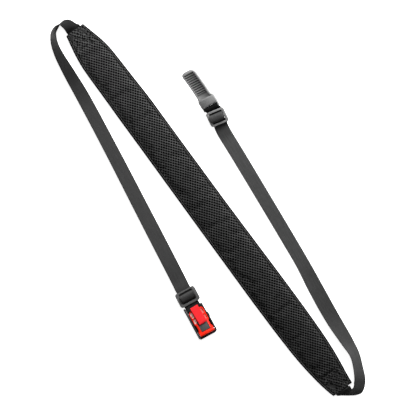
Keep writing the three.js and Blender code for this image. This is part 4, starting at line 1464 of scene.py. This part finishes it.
    def _hole(self, shell: Shell, row: int, step: int) -> None:
        """Adds one cell of the mesh with its hole.

        Args:
            shell: the cover so far.
            row: the number of the line before it.
            step: the hole's half-pitch number across.
        """
        form, draw, sides = self.form, shell.draw, self.HOLE_SIDES
        low, high = shell.lines[row], shell.lines[row + 1]
        along, across = (row + 0.5) * shell.pitch, step * self.hole_pitch / 2
        pressed = form.press(along, across)
        open_share = max(0.6, 1 - pressed * 0.4) * draw.uniform(0.9, 1.0)
        loose = 0.1 + 0.2 * min(1.0, pressed)
        lean = (draw.uniform(-loose, loose), draw.uniform(-0.05, 0.05))
        normal = self.normal(along, across)
        slant = math.radians(self.hole_slant)
        rings = []
        for share, depth, mask in self.HOLE_LEVELS:
            ring = []
            for corner in range(sides):
                turn = math.tau * corner / sides + slant - math.pi / 2
                length = math.cos(turn) * self.hole_long * share * open_share
                breadth = math.sin(turn) * self.hole_short * share * open_share
                x = along + lean[1] + length * math.cos(slant) + breadth * math.sin(slant)
                y = across + lean[0] + length * math.sin(slant) - breadth * math.cos(slant)
                drop = depth * self.hole_depth * open_share
                base = form.top(x, y) + (self.RIM_LIFT if depth == 0.0 else 0.0)
                place = (x - normal[0] * drop, y - normal[1] * drop, base - normal[2] * drop)
                ring.append(shell.put(*place, mask))
            rings.append(ring)
        rim = rings[0]
        b = (low[step + 1], high[step + 1], high[step], high[step - 1], low[step - 1], low[step])
        for face in (
            (b[0], b[1], rim[0]),
            (b[1], rim[1], rim[0]),
            (b[1], b[2], rim[2], rim[1]),
            (b[2], b[3], rim[3], rim[2]),
            (b[3], rim[4], rim[3]),
            (b[3], b[4], rim[4]),
            (b[4], rim[5], rim[4]),
            (b[4], b[5], rim[6], rim[5]),
            (b[5], b[0], rim[7], rim[6]),
            (b[0], rim[0], rim[7]),
            *band(rings[0][0], sides),
            *band(rings[1][0], sides),
            rings[2],
        ):
            shell.close(face)

    def _border_row(self, shell: Shell, row: int) -> None:
        """Closes the binding and the back between two lines.

        Args:
            shell: the cover so far.
            row: the number of the first line.
        """
        seam = len(self.BORDER_TOP) + self.BINDING_BACK
        cloths = (CoverCloth.MESH, CoverCloth.BINDING, CoverCloth.BACK)
        for first, second in zip(shell.rims[row], shell.rims[row + 1]):
            for index in range(min(len(first), len(second)) - 1):
                cloth = cloths[(index >= self.BINDING_FROM) + (index >= seam)]
                shell.close((first[index], first[index + 1], second[index + 1], second[index]), cloth)
        (right, left), (after_right, after_left) = shell.rims[row], shell.rims[row + 1]
        shell.close((left[-1], right[-1], after_right[-1], after_left[-1]), CoverCloth.BACK)

    def _end_face(self, shell: Shell, end: PadEnd) -> None:
        """Closes one end round its pocket, with a soft lip.

        Args:
            shell: the cover so far.
            end: which end it is.
        """
        number = 0 if end is PadEnd.UPPER else -1
        line, (right_rim, left_rim) = shell.lines[number], shell.rims[number]
        outline = right_rim[::-1] + [line[step] for step in sorted(line)] + left_rim
        face_at = 0.0 if end is PadEnd.UPPER else self.form.length
        bottom_at = self.pocket_depth if end is PadEnd.UPPER else self.form.length - self.pocket_depth
        middle = end.shift
        lip = []
        for number in outline:
            _, across, height = shell.points[number]
            inward = self.LIP if across < middle else -self.LIP
            drop = self.LIP_DROP if height > self.LIP_SPLIT else -self.LIP_DROP
            beside = abs(across - middle) > self.LIP_BESIDE
            lip.append(shell.put(face_at, across + inward * beside, height - drop))
        for index, after in self._round(len(outline)):
            shell.close((outline[index], outline[after], lip[after], lip[index]))
        left, right = middle + self.pocket_half, middle - self.pocket_half
        floor, roof = self.pocket_floor, self.pocket_roof
        corners = ((right, floor), (right, roof), (left, roof), (left, floor))
        mouth = [shell.put(face_at, across, height) for across, height in corners]
        bottom = [shell.put(bottom_at, across, height) for across, height in corners]
        for index, after in self._round(len(corners)):
            shell.close((mouth[index], mouth[after], bottom[after], bottom[index]), CoverCloth.BACK)
        shell.close(bottom, CoverCloth.BACK)
        self._bridge(shell, lip, mouth)

    @staticmethod
    def _round(count: int) -> list[tuple[int, int]]:
        """Each number of a closed ring and the one after it."""
        return [(index, (index + 1) % count) for index in range(count)]

    def _bridge(self, shell: Shell, lip: list[int], mouth: list[int]) -> None:
        """Joins the end's lip to its pocket's mouth with triangles.

        Args:
            shell: the cover so far.
            lip: points once round the end.
            mouth: the mouth's four corners, in the same direction.
        """
        points = shell.points

        def nearest(number: int) -> int:
            """The mouth corner that a lip point belongs to."""
            across, height = points[number][1:]
            return min(
                range(4),
                key=lambda k: abs(points[mouth[k]][1] - across) + 3 * abs(points[mouth[k]][2] - height),
            )

        owners = [nearest(number) for number in lip]
        for index, after in self._round(len(lip)):
            shell.close((lip[index], lip[after], mouth[owners[index]]))
            if owners[after] != owners[index]:
                shell.close((lip[after], mouth[owners[after]], mouth[owners[index]]))

    def seat(self, along: float, across: float, way: tuple[float, float], sink: float = 0.0) -> Seat:
        """Where a stitch lies on the top.

        Args:
            along: distance from the upper end.
            across: distance to the left of the axis.
            way: the stitch's direction along and across.
            sink: how far below the top it lies.

        Returns:
            The seat, in the row frame.
        """
        normal = self.normal(along, across)
        start = np.array((along, across, self.form.top(along, across) - sink))
        reach = 0.5
        ahead = (along + way[0] * reach, across + way[1] * reach)
        stop = np.array((*ahead, self.form.top(*ahead) - sink))
        return self._seated(start, stop, start + normal)

    def _seated(self, *points: np.ndarray) -> Seat:
        """A seat from its middle, a point ahead of it and a point above it, in the pad's own frame."""
        middle, ahead, above = self.placed(np.array(points))
        return Seat(middle, ahead - middle, above - middle)

    def end_seats(self, end: PadEnd, pitch: float = 3.0) -> list[Seat]:
        """Stitches of the box and cross at one end."""
        seats = []
        for (near, side), (far, other) in self.form.sewn_lines():
            reach = math.hypot(far - near, other - side)
            count = max(1, round(reach / pitch))
            for index in range(count):
                share = (index + 0.5) / count
                inward, across = near + (far - near) * share, side + (other - side) * share
                along = inward if end is PadEnd.UPPER else self.form.length - inward
                way = (-(far - near) / reach * end.way, (other - side) / reach)
                seats.append(self.seat(along, across + end.shift, way))
        return seats

    def binding_seats(self, pitch: float = 2.6, inset: float = 2.3) -> list[Seat]:
        """Stitches that hold the binding down each long side."""
        seats = []
        count = round((self.form.length - 2 * self.STITCH_START) / pitch)
        outward, upward = self.STITCH_FACING
        for sign in (-1, 1):
            for index in range(count):
                along = self.STITCH_START + (index + 0.5) * pitch
                across = self.form.shift(along) + sign * (self.form.half(along) - inset)
                ahead = self.form.shift(along + 1) + sign * (self.form.half(along + 1) - inset)
                turn = ahead - across
                place = np.array((along, across, self.form.crown_height(along, across) + self.STITCH_LIFT))
                further = place + np.array((1.0, turn, 0.0))
                facing = place + np.array((0.0, sign * outward, upward))
                seats.append(self._seated(place, further, facing))
        return seats

    def build(self) -> None:
        """Builds and dresses the pad and its sewing."""
        self.form.swell = PadFilling(self.form).swelling()
        log.info("pad filling swells by %.2f to %.2f mm", self.form.swell.min(), self.form.swell.max())
        rows = round(self.form.length / self.row_pitch)
        mesh = SpacerMesh(
            "spacer mesh",
            shade(0.0015),
            shade(0.06),
            shade(0.0002),
            row_pitch=self.form.length / rows * MM,
            hole_pitch=self.hole_pitch * MM,
        ).material()
        binding = WovenTape(
            "pad binding", shade(0.002), shade(0.005), warp=0.0007, weft=0.0008, sheen=0.0, lint=0.1
        ).material()
        back = WovenTape(
            "pad back", shade(0.012), shade(0.022), warp=0.0008, weft=0.0008, lint=0.2
        ).material()
        thread = SewingThread("pad thread", shade(0.02)).material()
        edge_thread = SewingThread("pad edge thread", shade(0.05)).material()
        cover = self.cover([mesh, binding, back])
        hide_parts("shoulder_pad")
        edging = Stitches("pad_binding_stitches", self.binding_seats(), length=2.4, radius=0.24)
        pieces = [cover, edging.build(edge_thread)]
        for end in PadEnd:
            pieces.append(Stitches(f"pad_{end.label}_box_stitches", self.end_seats(end)).build(thread))
        for piece in pieces:
            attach(piece, STRAP_BODY)
            log.info("%s: %d faces", piece.name, len(piece.data.polygons))


# ---- webbings ----


class WebbingSide(Enum):
    """The two webbings, by the half of the buckle that each one ends in."""

    BUCKLE = "buckle"
    TONGUE = "tongue"


@dataclass
class Webbing:
    """A webbing from its pocket in the pad, through its slider and round its fitting's bar to its tail."""

    side: WebbingSide
    shift: Vector
    end: EndPose
    pocket: PadEnd
    run: tuple[Lean, ...]
    bar_at: float
    facing: int
    finish: WovenTape
    width: float = 20.0
    thickness: float = 1.4
    floor_lift: float = 0.2
    bar_height: float = 4.2
    bar_radius: float = 1.3
    slot_reach: float = 7.2
    strap_settle: float = 14.0
    bar_settle: float = 12.5

    # Distances in from the pad's end, and the gap under the webbing, in its pocket.
    POCKET_PLACES = (29.7, 15.0, -0.6, -1.6)
    POCKET_GAP = 0.3
    # The gap round the fitting's bar.
    BAR_GAP = 0.4
    # The rows of close stitches under the tail, their places across, their slant and how far they stand out.
    TACK_ROWS = (3.2, 8.2)
    TACK_PLACES = range(-8, 9)
    TACK_SLANT = 0.35
    TACK_SINK = -0.02

    def pocket_stations(self, pad: ShoulderPad) -> list[Station]:
        """Stations inside the pad's pocket, up to its mouth."""
        turn, way = math.radians(pad.heading), self.pocket.way
        height = pad.pocket_floor + self.POCKET_GAP + self.thickness / 2
        across = np.array((-way * math.sin(turn), way * math.cos(turn), 0.0))
        half = pad.form.length / 2
        rows = [(half + way * (half - inward), self.pocket.shift, height) for inward in self.POCKET_PLACES]
        return [Station(point, across) for point in pad.placed(np.array(rows))]

    def leaning_station(self, lean: Lean) -> Station:
        """A section that stands on its lower edge."""
        aim, roll = math.radians(lean.aim), math.radians(lean.roll)
        height = (
            self.floor_lift
            + abs(math.sin(roll)) * self.width / 2
            + abs(math.cos(roll)) * self.thickness / 2
        )
        across = np.array((math.cos(aim) * math.cos(roll), math.sin(aim) * math.cos(roll), math.sin(roll)))
        return Station(np.array((lean.x, lean.y, height)) + np.array(self.shift), across)

    def bar_wrap(self) -> list[Crossing]:
        """Over the fitting's bar and back beneath it."""
        radius = self.bar_radius + self.BAR_GAP + self.thickness / 2
        rows = [Crossing(self.bar_at - 1.6, self.bar_height + radius - 0.2)]
        for angle in (90, 45, 0, -45, -90):
            turn = math.radians(angle)
            rows.append(
                Crossing(self.bar_at + radius * math.cos(turn), self.bar_height + radius * math.sin(turn))
            )
        rows += [Crossing(self.bar_at - 2.2, 1.45), Crossing(self.bar_at - 4.4, 0.95)]
        return rows

    def slider_hold(self, s: float) -> float:
        """How far a place follows the slider: 1 inside its slots and 0 at the fitting's bar."""
        settle = self.strap_settle if s < 0 else self.bar_settle
        share = min(1.0, max(0.0, (abs(s) - self.slot_reach) / (settle - self.slot_reach)))
        return 1 - share * share * (3 - 2 * share)

    def fitting_stations(self) -> list[Station]:
        """Stations through the slider, round the bar and back to the sewn tail."""
        matrix = self.end.matrix(self.shift)
        turn = math.radians(self.end.slider_turn)
        stations = []
        for s, z in (*SLIDER_CROSSING, *self.bar_wrap(), *SEWN_LOOP):
            hold = self.slider_hold(s)
            free = self.end.strap_shift if s < 0 else 0.0
            held = self.end.slider_shift + s * math.sin(turn)
            point = matrix @ Vector((s, free + (held - free) * hold, z))
            across = Vector((-math.sin(turn * hold), math.cos(turn * hold), 0)) * self.facing
            stations.append(Station(np.array(point), np.array(matrix.to_3x3() @ across)))
        return stations

    def bartack(self, material: bpy.types.Material) -> bpy.types.Object:
        """Close zigzag sewing that holds the tail, seen from beneath."""
        matrix = self.end.matrix(self.shift)
        turn = matrix.to_3x3()
        along = np.array(turn @ Vector((1, self.TACK_SLANT, 0)))
        down = np.array(turn @ Vector((0, 0, -1)))
        places = [Vector((s, across, self.TACK_SINK)) for s in self.TACK_ROWS for across in self.TACK_PLACES]
        seats = [Seat(np.array(matrix @ place), along, down) for place in places]
        name = f"bartack_{self.side.value}_side"
        return Stitches(name, seats, length=2.4, radius=0.2, lift=0.06).build(material)

    def build(self, pad: ShoulderPad) -> None:
        """Builds and dresses the webbing and its sewing."""
        stations = self.pocket_stations(pad)
        stations += [self.leaning_station(lean) for lean in self.run]
        stations += self.fitting_stations()
        name = f"webbing_{self.side.value}_side"
        tape = Tape(f"{name}_woven", stations, self.width, self.thickness)
        piece, length = tape.build(self.finish.material())
        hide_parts(name)
        thread = SewingThread(f"{self.side.value} side thread", shade(0.02)).material()
        tack = self.bartack(thread)
        for made in (piece, tack):
            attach(made, STRAP_BODY)
            log.info("%s: %d faces", made.name, len(made.data.polygons))
        log.info("%s is %.0f mm long", piece.name, length / MM)


# ---- hard parts ----


@dataclass(frozen=True)
class SkyShade:
    """Measures how much of the sky the part itself hides from each of its points, as shade painted into its
    colour.
    """

    reach: float = 7.0
    around: int = 12
    heights: tuple[float, ...] = (25.0, 45.0, 65.0)
    least: float = 0.22
    gain: float = 1.7

    # How squarely a ray must face the surface, and how far off the surface it starts.
    GRAZING = 0.1
    LIFT = 0.03

    def paint(self, form: bmesh.types.BMesh) -> None:
        """Writes the share of hidden sky to every vertex as its mask of painted shade."""
        layer = form.verts.layers.float.new(PAINTED_SHADE_ATTRIBUTE)
        tree = BVHTree.FromBMesh(form)
        rays = [
            Vector((math.cos(turn) * math.cos(height), math.sin(turn) * math.cos(height), math.sin(height)))
            for height in map(math.radians, self.heights)
            for turn in (math.tau * step / self.around for step in range(self.around))
        ]
        form.normal_update()
        for vertex in form.verts:
            seen = [ray for ray in rays if ray.dot(vertex.normal) > self.GRAZING]
            start = vertex.co + vertex.normal * self.LIFT * MM
            hidden = sum(tree.ray_cast(start, ray, self.reach * MM)[0] is not None for ray in seen)
            share = hidden / len(seen) if seen else 1.0
            vertex[layer] = min(1.0, max(0.0, share - self.least) * self.gain)


@dataclass(frozen=True)
class Patch:
    """A patch on a part's top, from and to along and across its end's own frame, and how strong it is."""

    start: float
    stop: float
    inner: float
    outer: float
    strength: float = 1.0

    def holds(self, place: Vector) -> bool:
        """Whether a place in the end's own frame lies on the patch."""
        return self.start <= place.x <= self.stop and self.inner <= place.y <= self.outer


@dataclass(frozen=True)
class SlotFit:
    """How a slider's two slots fit their webbing, in a frame whose X runs to the fitting."""

    axis: Matrix
    rear: float
    front: float
    half: float = 10.45
    closed: float = 0.44
    reach: float = 7.5
    level: float = 6.3
    level_reach: float = 0.8
    wall_reach: float = 0.1
    end_near: float = 6.0
    end_far: float = 7.2
    end_half: float = 11.0
    nook: float = 0.7
    nook_from: float = 6.5

    def shape(self, form: bmesh.types.BMesh) -> None:
        """Brings the slots' side walls nearer the webbing, lengthens them and cuts their outer corners.

        Args:
            form: the slider.
        """
        inverse = self.axis.inverted()
        inside = self.half - self.closed
        for vertex in form.verts:
            local = inverse @ (vertex.co / MM)
            on_wall = inside < abs(local.y) < self.half + self.wall_reach and abs(local.x) < self.reach
            if on_wall and abs(local.z - self.level) < self.level_reach:
                local.y = math.copysign(inside, local.y)
            if self.end_near < abs(local.x) < self.end_far and abs(local.y) < self.end_half:
                local.x += self.front if local.x > 0 else -self.rear
                local.y -= math.copysign(self.nook, local.y) if abs(local.x) > self.nook_from else 0.0
            vertex.co = (self.axis @ local) * MM


@dataclass
class MouldedPart:
    """A hard part: its solid with softened edges and a finish of its own."""

    node: str
    name: str
    finish: Finish
    slot: str
    body: str = STRAP_BODY
    radius: float = 0.25
    segments: int = 2
    crease: float = 24.0
    smooth_angle: float = 38.0
    slots: SlotFit | None = None
    axis: Matrix | None = None
    # Patches of painted highlight and of painted shade, and how the painted shade of its recesses is
    # measured.
    painted_highlight: tuple[Patch, ...] = ()
    painted_shade_patches: tuple[Patch, ...] = ()
    sky: SkyShade = SkyShade()

    # Points nearer than this, in metres, are one: before and after the flat faces are joined.
    WELD = 2e-6
    SLIVER = 3e-5
    # How nearly a patch's points must face upward.
    UPWARD = 0.5

    def mark(self, form: bmesh.types.BMesh, name: str, patches: tuple[Patch, ...]) -> None:
        """Raises a mask where patches lie and the part faces upward.

        Args:
            form: the part.
            name: the mask's attribute.
            patches: where it is raised, and how far.
        """
        layers = form.verts.layers.float
        layer = layers.get(name) or layers.new(name)
        inverse = self.axis.inverted()
        for vertex in form.verts:
            local = inverse @ (vertex.co / MM)
            for patch in patches:
                if vertex.normal.z > self.UPWARD and patch.holds(local):
                    vertex[layer] = max(vertex[layer], patch.strength)

    def build(self) -> None:
        """Makes the part with rounded edges, marks them for wear and puts it in the solid's place."""
        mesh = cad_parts[self.node].data.copy()
        mesh.name = self.name
        mesh.materials.clear()
        form = bmesh.new()
        form.from_mesh(mesh)
        bmesh.ops.remove_doubles(form, verts=form.verts, dist=self.WELD)
        bmesh.ops.dissolve_limit(
            form, angle_limit=math.radians(1.0), verts=form.verts[:], edges=form.edges[:], delimit=set()
        )
        if self.slots is not None:
            self.slots.shape(form)
        bmesh.ops.remove_doubles(form, verts=form.verts, dist=self.SLIVER)
        crease = math.radians(self.crease)
        edges = [edge for edge in form.edges if edge.is_manifold and edge.calc_face_angle(0.0) > crease]
        made = bmesh.ops.bevel(
            form,
            geom=edges,
            offset=self.radius * MM,
            offset_type="OFFSET",
            segments=self.segments,
            profile=0.5,
            affect="EDGES",
            clamp_overlap=True,
        )
        layer = form.verts.layers.float.new(EDGE_ATTRIBUTE)
        for face in made["faces"]:
            for vertex in face.verts:
                vertex[layer] = 1.0
        bmesh.ops.recalc_face_normals(form, faces=form.faces)
        # Painted shade where the part hides the sky from itself.
        self.sky.paint(form)
        # Painted highlights and painted shade on their patches.
        for name, patches in ((PAINTED_HIGHLIGHT_ATTRIBUTE, self.painted_highlight), (PAINTED_SHADE_ATTRIBUTE, self.painted_shade_patches)):
            if patches:
                self.mark(form, name, patches)
        form.to_mesh(mesh)
        form.free()
        mesh.shade_smooth()
        mesh.set_sharp_from_angle(angle=math.radians(self.smooth_angle))
        mesh.materials.append(self.finish.material())
        piece = stand(self.name, mesh)
        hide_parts(self.node)
        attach(piece, self.body)
        log.info("%s: %d faces", piece.name, len(mesh.polygons))


def build_slider(
    side: WebbingSide, end: EndPose, shift: Vector, finish: MouldedPlastic, rear: float, front: float = 0.0
) -> None:
    """Builds and dresses the slider before one half of the buckle.

    Args:
        side: whose slider it is.
        end: where that end of the strap lies.
        shift: the row frame's shift.
        finish: its plastic.
        rear: how far its rear slot is lengthened.
        front: how far its front slot is lengthened.
    """
    place = Matrix.Translation((0, end.slider_shift, 0))
    axis = end.matrix(shift) @ place @ Matrix.Rotation(math.radians(end.slider_turn), 4, "Z")
    node = f"slider_{side.value}_side"
    part = MouldedPart(node, f"{node}_moulded", finish, "slider_plastic", radius=0.4, segments=3)
    part.slots = SlotFit(axis, rear, front)
    part.build()


@dataclass
class PullRibbon:
    """The red ribbon on the lever, folded back on itself at its free end."""

    shift: Vector
    finish: WovenTape
    width: float = 11.2
    thickness: float = 0.9
    start: float = 14.8
    end: float = 39.8
    turn: float = 2.5
    side: float = 0.9
    lever_top: float = 11.4
    fold_radius: float = 0.8

    def stations(self) -> list[Station]:
        """Lower layer, round fold at the free end and upper layer."""
        lower = self.lever_top + 0.3 + self.thickness / 2
        fold = self.start + self.thickness / 2 + self.fold_radius
        middle = lower + self.fold_radius
        rows = [(self.end - 3, lower), ((self.end + fold) / 2, lower), (fold + 2, lower)]
        for angle in range(-90, 91, 30):
            turn = math.radians(angle)
            s = fold - self.fold_radius * math.cos(turn)
            rows.append((s, middle + self.fold_radius * math.sin(turn)))
        rows += [
            (fold + 2, middle + self.fold_radius),
            (self.end - 3.5, middle + self.fold_radius),
            (self.end - 1, middle + 0.4),
            (self.end, lower + 0.4),
        ]
        turned = (
            BUCKLE_END.matrix(self.shift)
            @ Matrix.Translation((self.end, self.side, 0))
            @ Matrix.Rotation(math.radians(self.turn), 4, "Z")
            @ Matrix.Translation((-self.end, 0, 0))
        )
        across = np.array(turned.to_3x3() @ Vector((0, -1, 0)))
        return [Station(np.array(turned @ Vector((s, 0, z))), across) for s, z in rows]

    def build(self) -> None:
        """Builds and dresses the ribbon."""
        tape = Tape("pull_ribbon_woven", self.stations(), self.width, self.thickness)
        tape.ribs, tape.rib_depth, tape.step = 8, 0.03, 0.5
        piece, length = tape.build(self.finish.material())
        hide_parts("pull_ribbon")
        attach(piece, LEVER_BODY)
        log.info("%s is %.0f mm long", piece.name, length / MM)


@dataclass
class BuckleEnd:
    """The receiving half of the buckle with its lever, and the slider before it."""

    shift: Vector

    def build(self) -> None:
        """Builds and dresses every part."""
        # Each plastic's colour, its paler edge colour for wear and painted edge highlights, and its colour of
        # painted shade in recesses.
        black = MouldedPlastic("housing plastic", shade(0.006), shade(0.03), shade(0.002), roughness=0.38)
        dark = MouldedPlastic(
            "dark slider plastic", shade(0.03), shade(0.15), shade(0.002), roughness=0.42, wear=0.3
        )
        red = MouldedPlastic(
            "lever plastic",
            (0.84, 0.016, 0.003, 1.0),
            (0.9, 0.04, 0.015, 1.0),
            (0.3, 0.002, 0.001, 1.0),
            # Pale pink of the highlights painted in the lever's pockets.
            painted_highlight=(1.0, 0.86, 0.76, 1.0),
            roughness=0.35,
            specular=0.1,
        )
        build_slider(WebbingSide.BUCKLE, BUCKLE_END, self.shift, dark, rear=1.2)
        MouldedPart("buckle_housing", "buckle_housing_shell", black, "housing_plastic", radius=0.2).build()
        steel = BareMetal("pin steel", shade(0.4))
        MouldedPart("lever_pivot_pin", "lever_pivot_pin_turned", steel, "pin_steel").build()
        lever = MouldedPart("release_lever", "release_lever_shell", red, "lever_plastic", LEVER_BODY)
        lever.axis = BUCKLE_END.matrix(self.shift)
        # Painted highlights in the four pockets of the lever's sides: strong on its right side, faint on its
        # left.
        lever.painted_highlight = tuple(
            Patch(start, stop, inner, outer, strength)
            for inner, outer, strength in ((6.0, 9.3, 0.15), (-9.3, -6.0, 1.0))
            for start, stop in ((20.9, 28.3), (30.1, 36.5))
        )
        lever.build()
        metal = BareMetal("latch plate metal", shade(0.045), roughness=0.6, metallic=0.3)
        latch = MouldedPart("latch_plate", "latch_plate_stamped", metal, "latch_metal", LEVER_BODY)
        latch.radius = 0.15
        latch.build()
        red_weave = WovenTape(
            "ribbon weave",
            (0.58, 0.006, 0.012, 1.0),
            (0.98, 0.045, 0.048, 1.0),
            warp=0.0017,
            weft=0.0024,
            depth=0.00025,
            sheen=0.1,
            lint=0.4,
        )
        PullRibbon(self.shift, red_weave).build()


@dataclass
class TongueEnd:
    """The toothed half of the buckle and the slider before it."""

    shift: Vector

    def build(self) -> None:
        """Builds and dresses both parts."""
        # Each plastic's colour, its paler edge colour for wear and painted edge highlights, and its colour of
        # painted shade in recesses.
        grey = MouldedPlastic(
            "tongue plastic", shade(0.24), shade(0.45), shade(0.03), roughness=0.42, wear=0.4
        )
        pale = MouldedPlastic(
            "pale slider plastic", shade(0.22), shade(0.42), shade(0.006), roughness=0.4, wear=0.35
        )
        build_slider(WebbingSide.TONGUE, TONGUE_END, self.shift, pale, rear=0.9, front=0.7)
        tongue = MouldedPart("ratchet_tongue", "ratchet_tongue_moulded", grey, "tongue_plastic", radius=0.22)
        # Deeper painted shade in the ladder's grooves.
        tongue.sky = SkyShade(reach=4.0, least=0.5, gain=5.0)
        tongue.axis = TONGUE_END.matrix(self.shift)
        # Painted shade on the plate behind the ridge, where it slopes away from the light.
        tongue.painted_shade_patches = (Patch(18.0, 29.0, -12.0, 12.0, strength=0.4),)
        tongue.build()


# ---- studio ----


@dataclass
class Studio:
    """Pale floor, soft lights and a camera high above."""

    shift: Vector
    floor_size: float = 12.0
    camera_height: float = 8.0
    picture_width: float = 0.5475
    aside_x: float = 0.26
    aside_y: float = -0.4
    sensor: float = 36.0
    floor_glow: float = 0.9
    sky: float = 0.08

    def floor(self) -> None:
        """A pale floor that glows a little to the camera only, so that shadows stay faint."""
        half = self.floor_size / 2
        corners = [(-half, -half, 0), (half, -half, 0), (half, half, 0), (-half, half, 0)]
        mesh = bpy.data.meshes.new("studio_floor")
        mesh.from_pydata(corners, [], [(0, 1, 2, 3)])
        material = bpy.data.materials.new("studio paper")
        material.use_nodes = True
        sheet = NodeSheet(material.node_tree)
        shader = material.node_tree.nodes["Principled BSDF"]
        shader.inputs["Roughness"].default_value = 1.0
        shader.inputs["Specular IOR Level"].default_value = 0.0
        shader.inputs["Emission Strength"].default_value = self.floor_glow
        blotches = sheet.add("TexNoise", Scale=30.0, Detail=2.0)
        tint = sheet.add("ValToRGB")
        tint.color_ramp.elements[0].color = shade(0.88)
        tint.color_ramp.elements[1].color = shade(0.9)
        sheet.wire(blotches.outputs["Fac"], tint.inputs["Fac"])
        sheet.wire(tint.outputs["Color"], shader.inputs["Base Color"])
        seen = sheet.add("VectorMath", operation="SCALE")
        sheet.wire(tint.outputs["Color"], seen.inputs[0])
        sheet.wire(sheet.add("LightPath").outputs["Is Camera Ray"], seen.inputs["Scale"])
        sheet.wire(seen.outputs["Vector"], shader.inputs["Emission Color"])
        mesh.materials.append(material)
        floor = stand("studio_floor", mesh)

    def lamp(self, name: str, place: tuple[float, float, float], size: float, power: float) -> None:
        """A square soft light that looks at the object.

        Args:
            name: the light's name.
            place: where it stands, in metres.
            size: its side, in metres.
            power: its power in watts.
        """
        light = bpy.data.lights.new(name, "AREA")
        light.size = size
        light.energy = power
        lamp = stand(name, light)
        lamp.location = place
        lamp.rotation_mode = "QUATERNION"
        lamp.rotation_quaternion = (-Vector(place)).to_track_quat("-Z", "Y")

    def camera(self) -> None:
        """A long lens that looks straight down."""
        data = bpy.data.cameras.new("camera")
        data.sensor_width = self.sensor
        data.lens = self.sensor * self.camera_height / self.picture_width
        data.clip_start, data.clip_end = 0.1, 100.0
        camera = stand("camera", data)
        aside = Vector((self.aside_x + self.shift.x, self.aside_y + self.shift.y, 0.0)) * MM
        camera.location = aside + Vector((0.0, 0.0, self.camera_height))
        bpy.context.scene.camera = camera

    def build(self) -> None:
        """Sets the whole studio up."""
        scene = bpy.context.scene
        scene.view_settings.view_transform = "Standard"
        world = bpy.data.worlds.new("studio")
        world.use_nodes = True
        background = world.node_tree.nodes["Background"]
        background.inputs["Color"].default_value = (1, 1, 1, 1)
        background.inputs["Strength"].default_value = self.sky
        scene.world = world
        self.floor()
        self.lamp("key", (0.8, 2.0, 1.7), 1.4, 165.0)
        self.lamp("fill", (-0.6, 0.2, 3.0), 2.2, 20.0)
        self.camera()


def main() -> None:
    logging.basicConfig(level=logging.INFO, format="%(name)s: %(message)s")
    shift = row_shift()
    log.info("row frame shift %.3f %.3f %.3f mm", *shift)
    pad = ShoulderPad(shift)
    pad.build()
    # The two webbings are one tape given two colours as painted light and shade: paler on the tongue side,
    # darker on the buckle side.
    left = WovenTape(
        "buckle side webbing weave", shade(0.018), shade(0.055), streaks=0.9, light_along=BUCKLE_SIDE_LIGHT
    )
    right = WovenTape(
        "tongue side webbing weave", shade(0.03), shade(0.095), streaks=0.9, light_along=TONGUE_SIDE_LIGHT
    )
    Webbing(WebbingSide.BUCKLE, shift, BUCKLE_END, PadEnd.UPPER, BUCKLE_RUN, 18.0, -1, left).build(pad)
    Webbing(WebbingSide.TONGUE, shift, TONGUE_END, PadEnd.LOWER, TONGUE_RUN, 15.0, 1, right).build(pad)
    BuckleEnd(shift).build()
    TongueEnd(shift).build()
    Studio(shift).build()


if __name__ == "__main__":
    main()
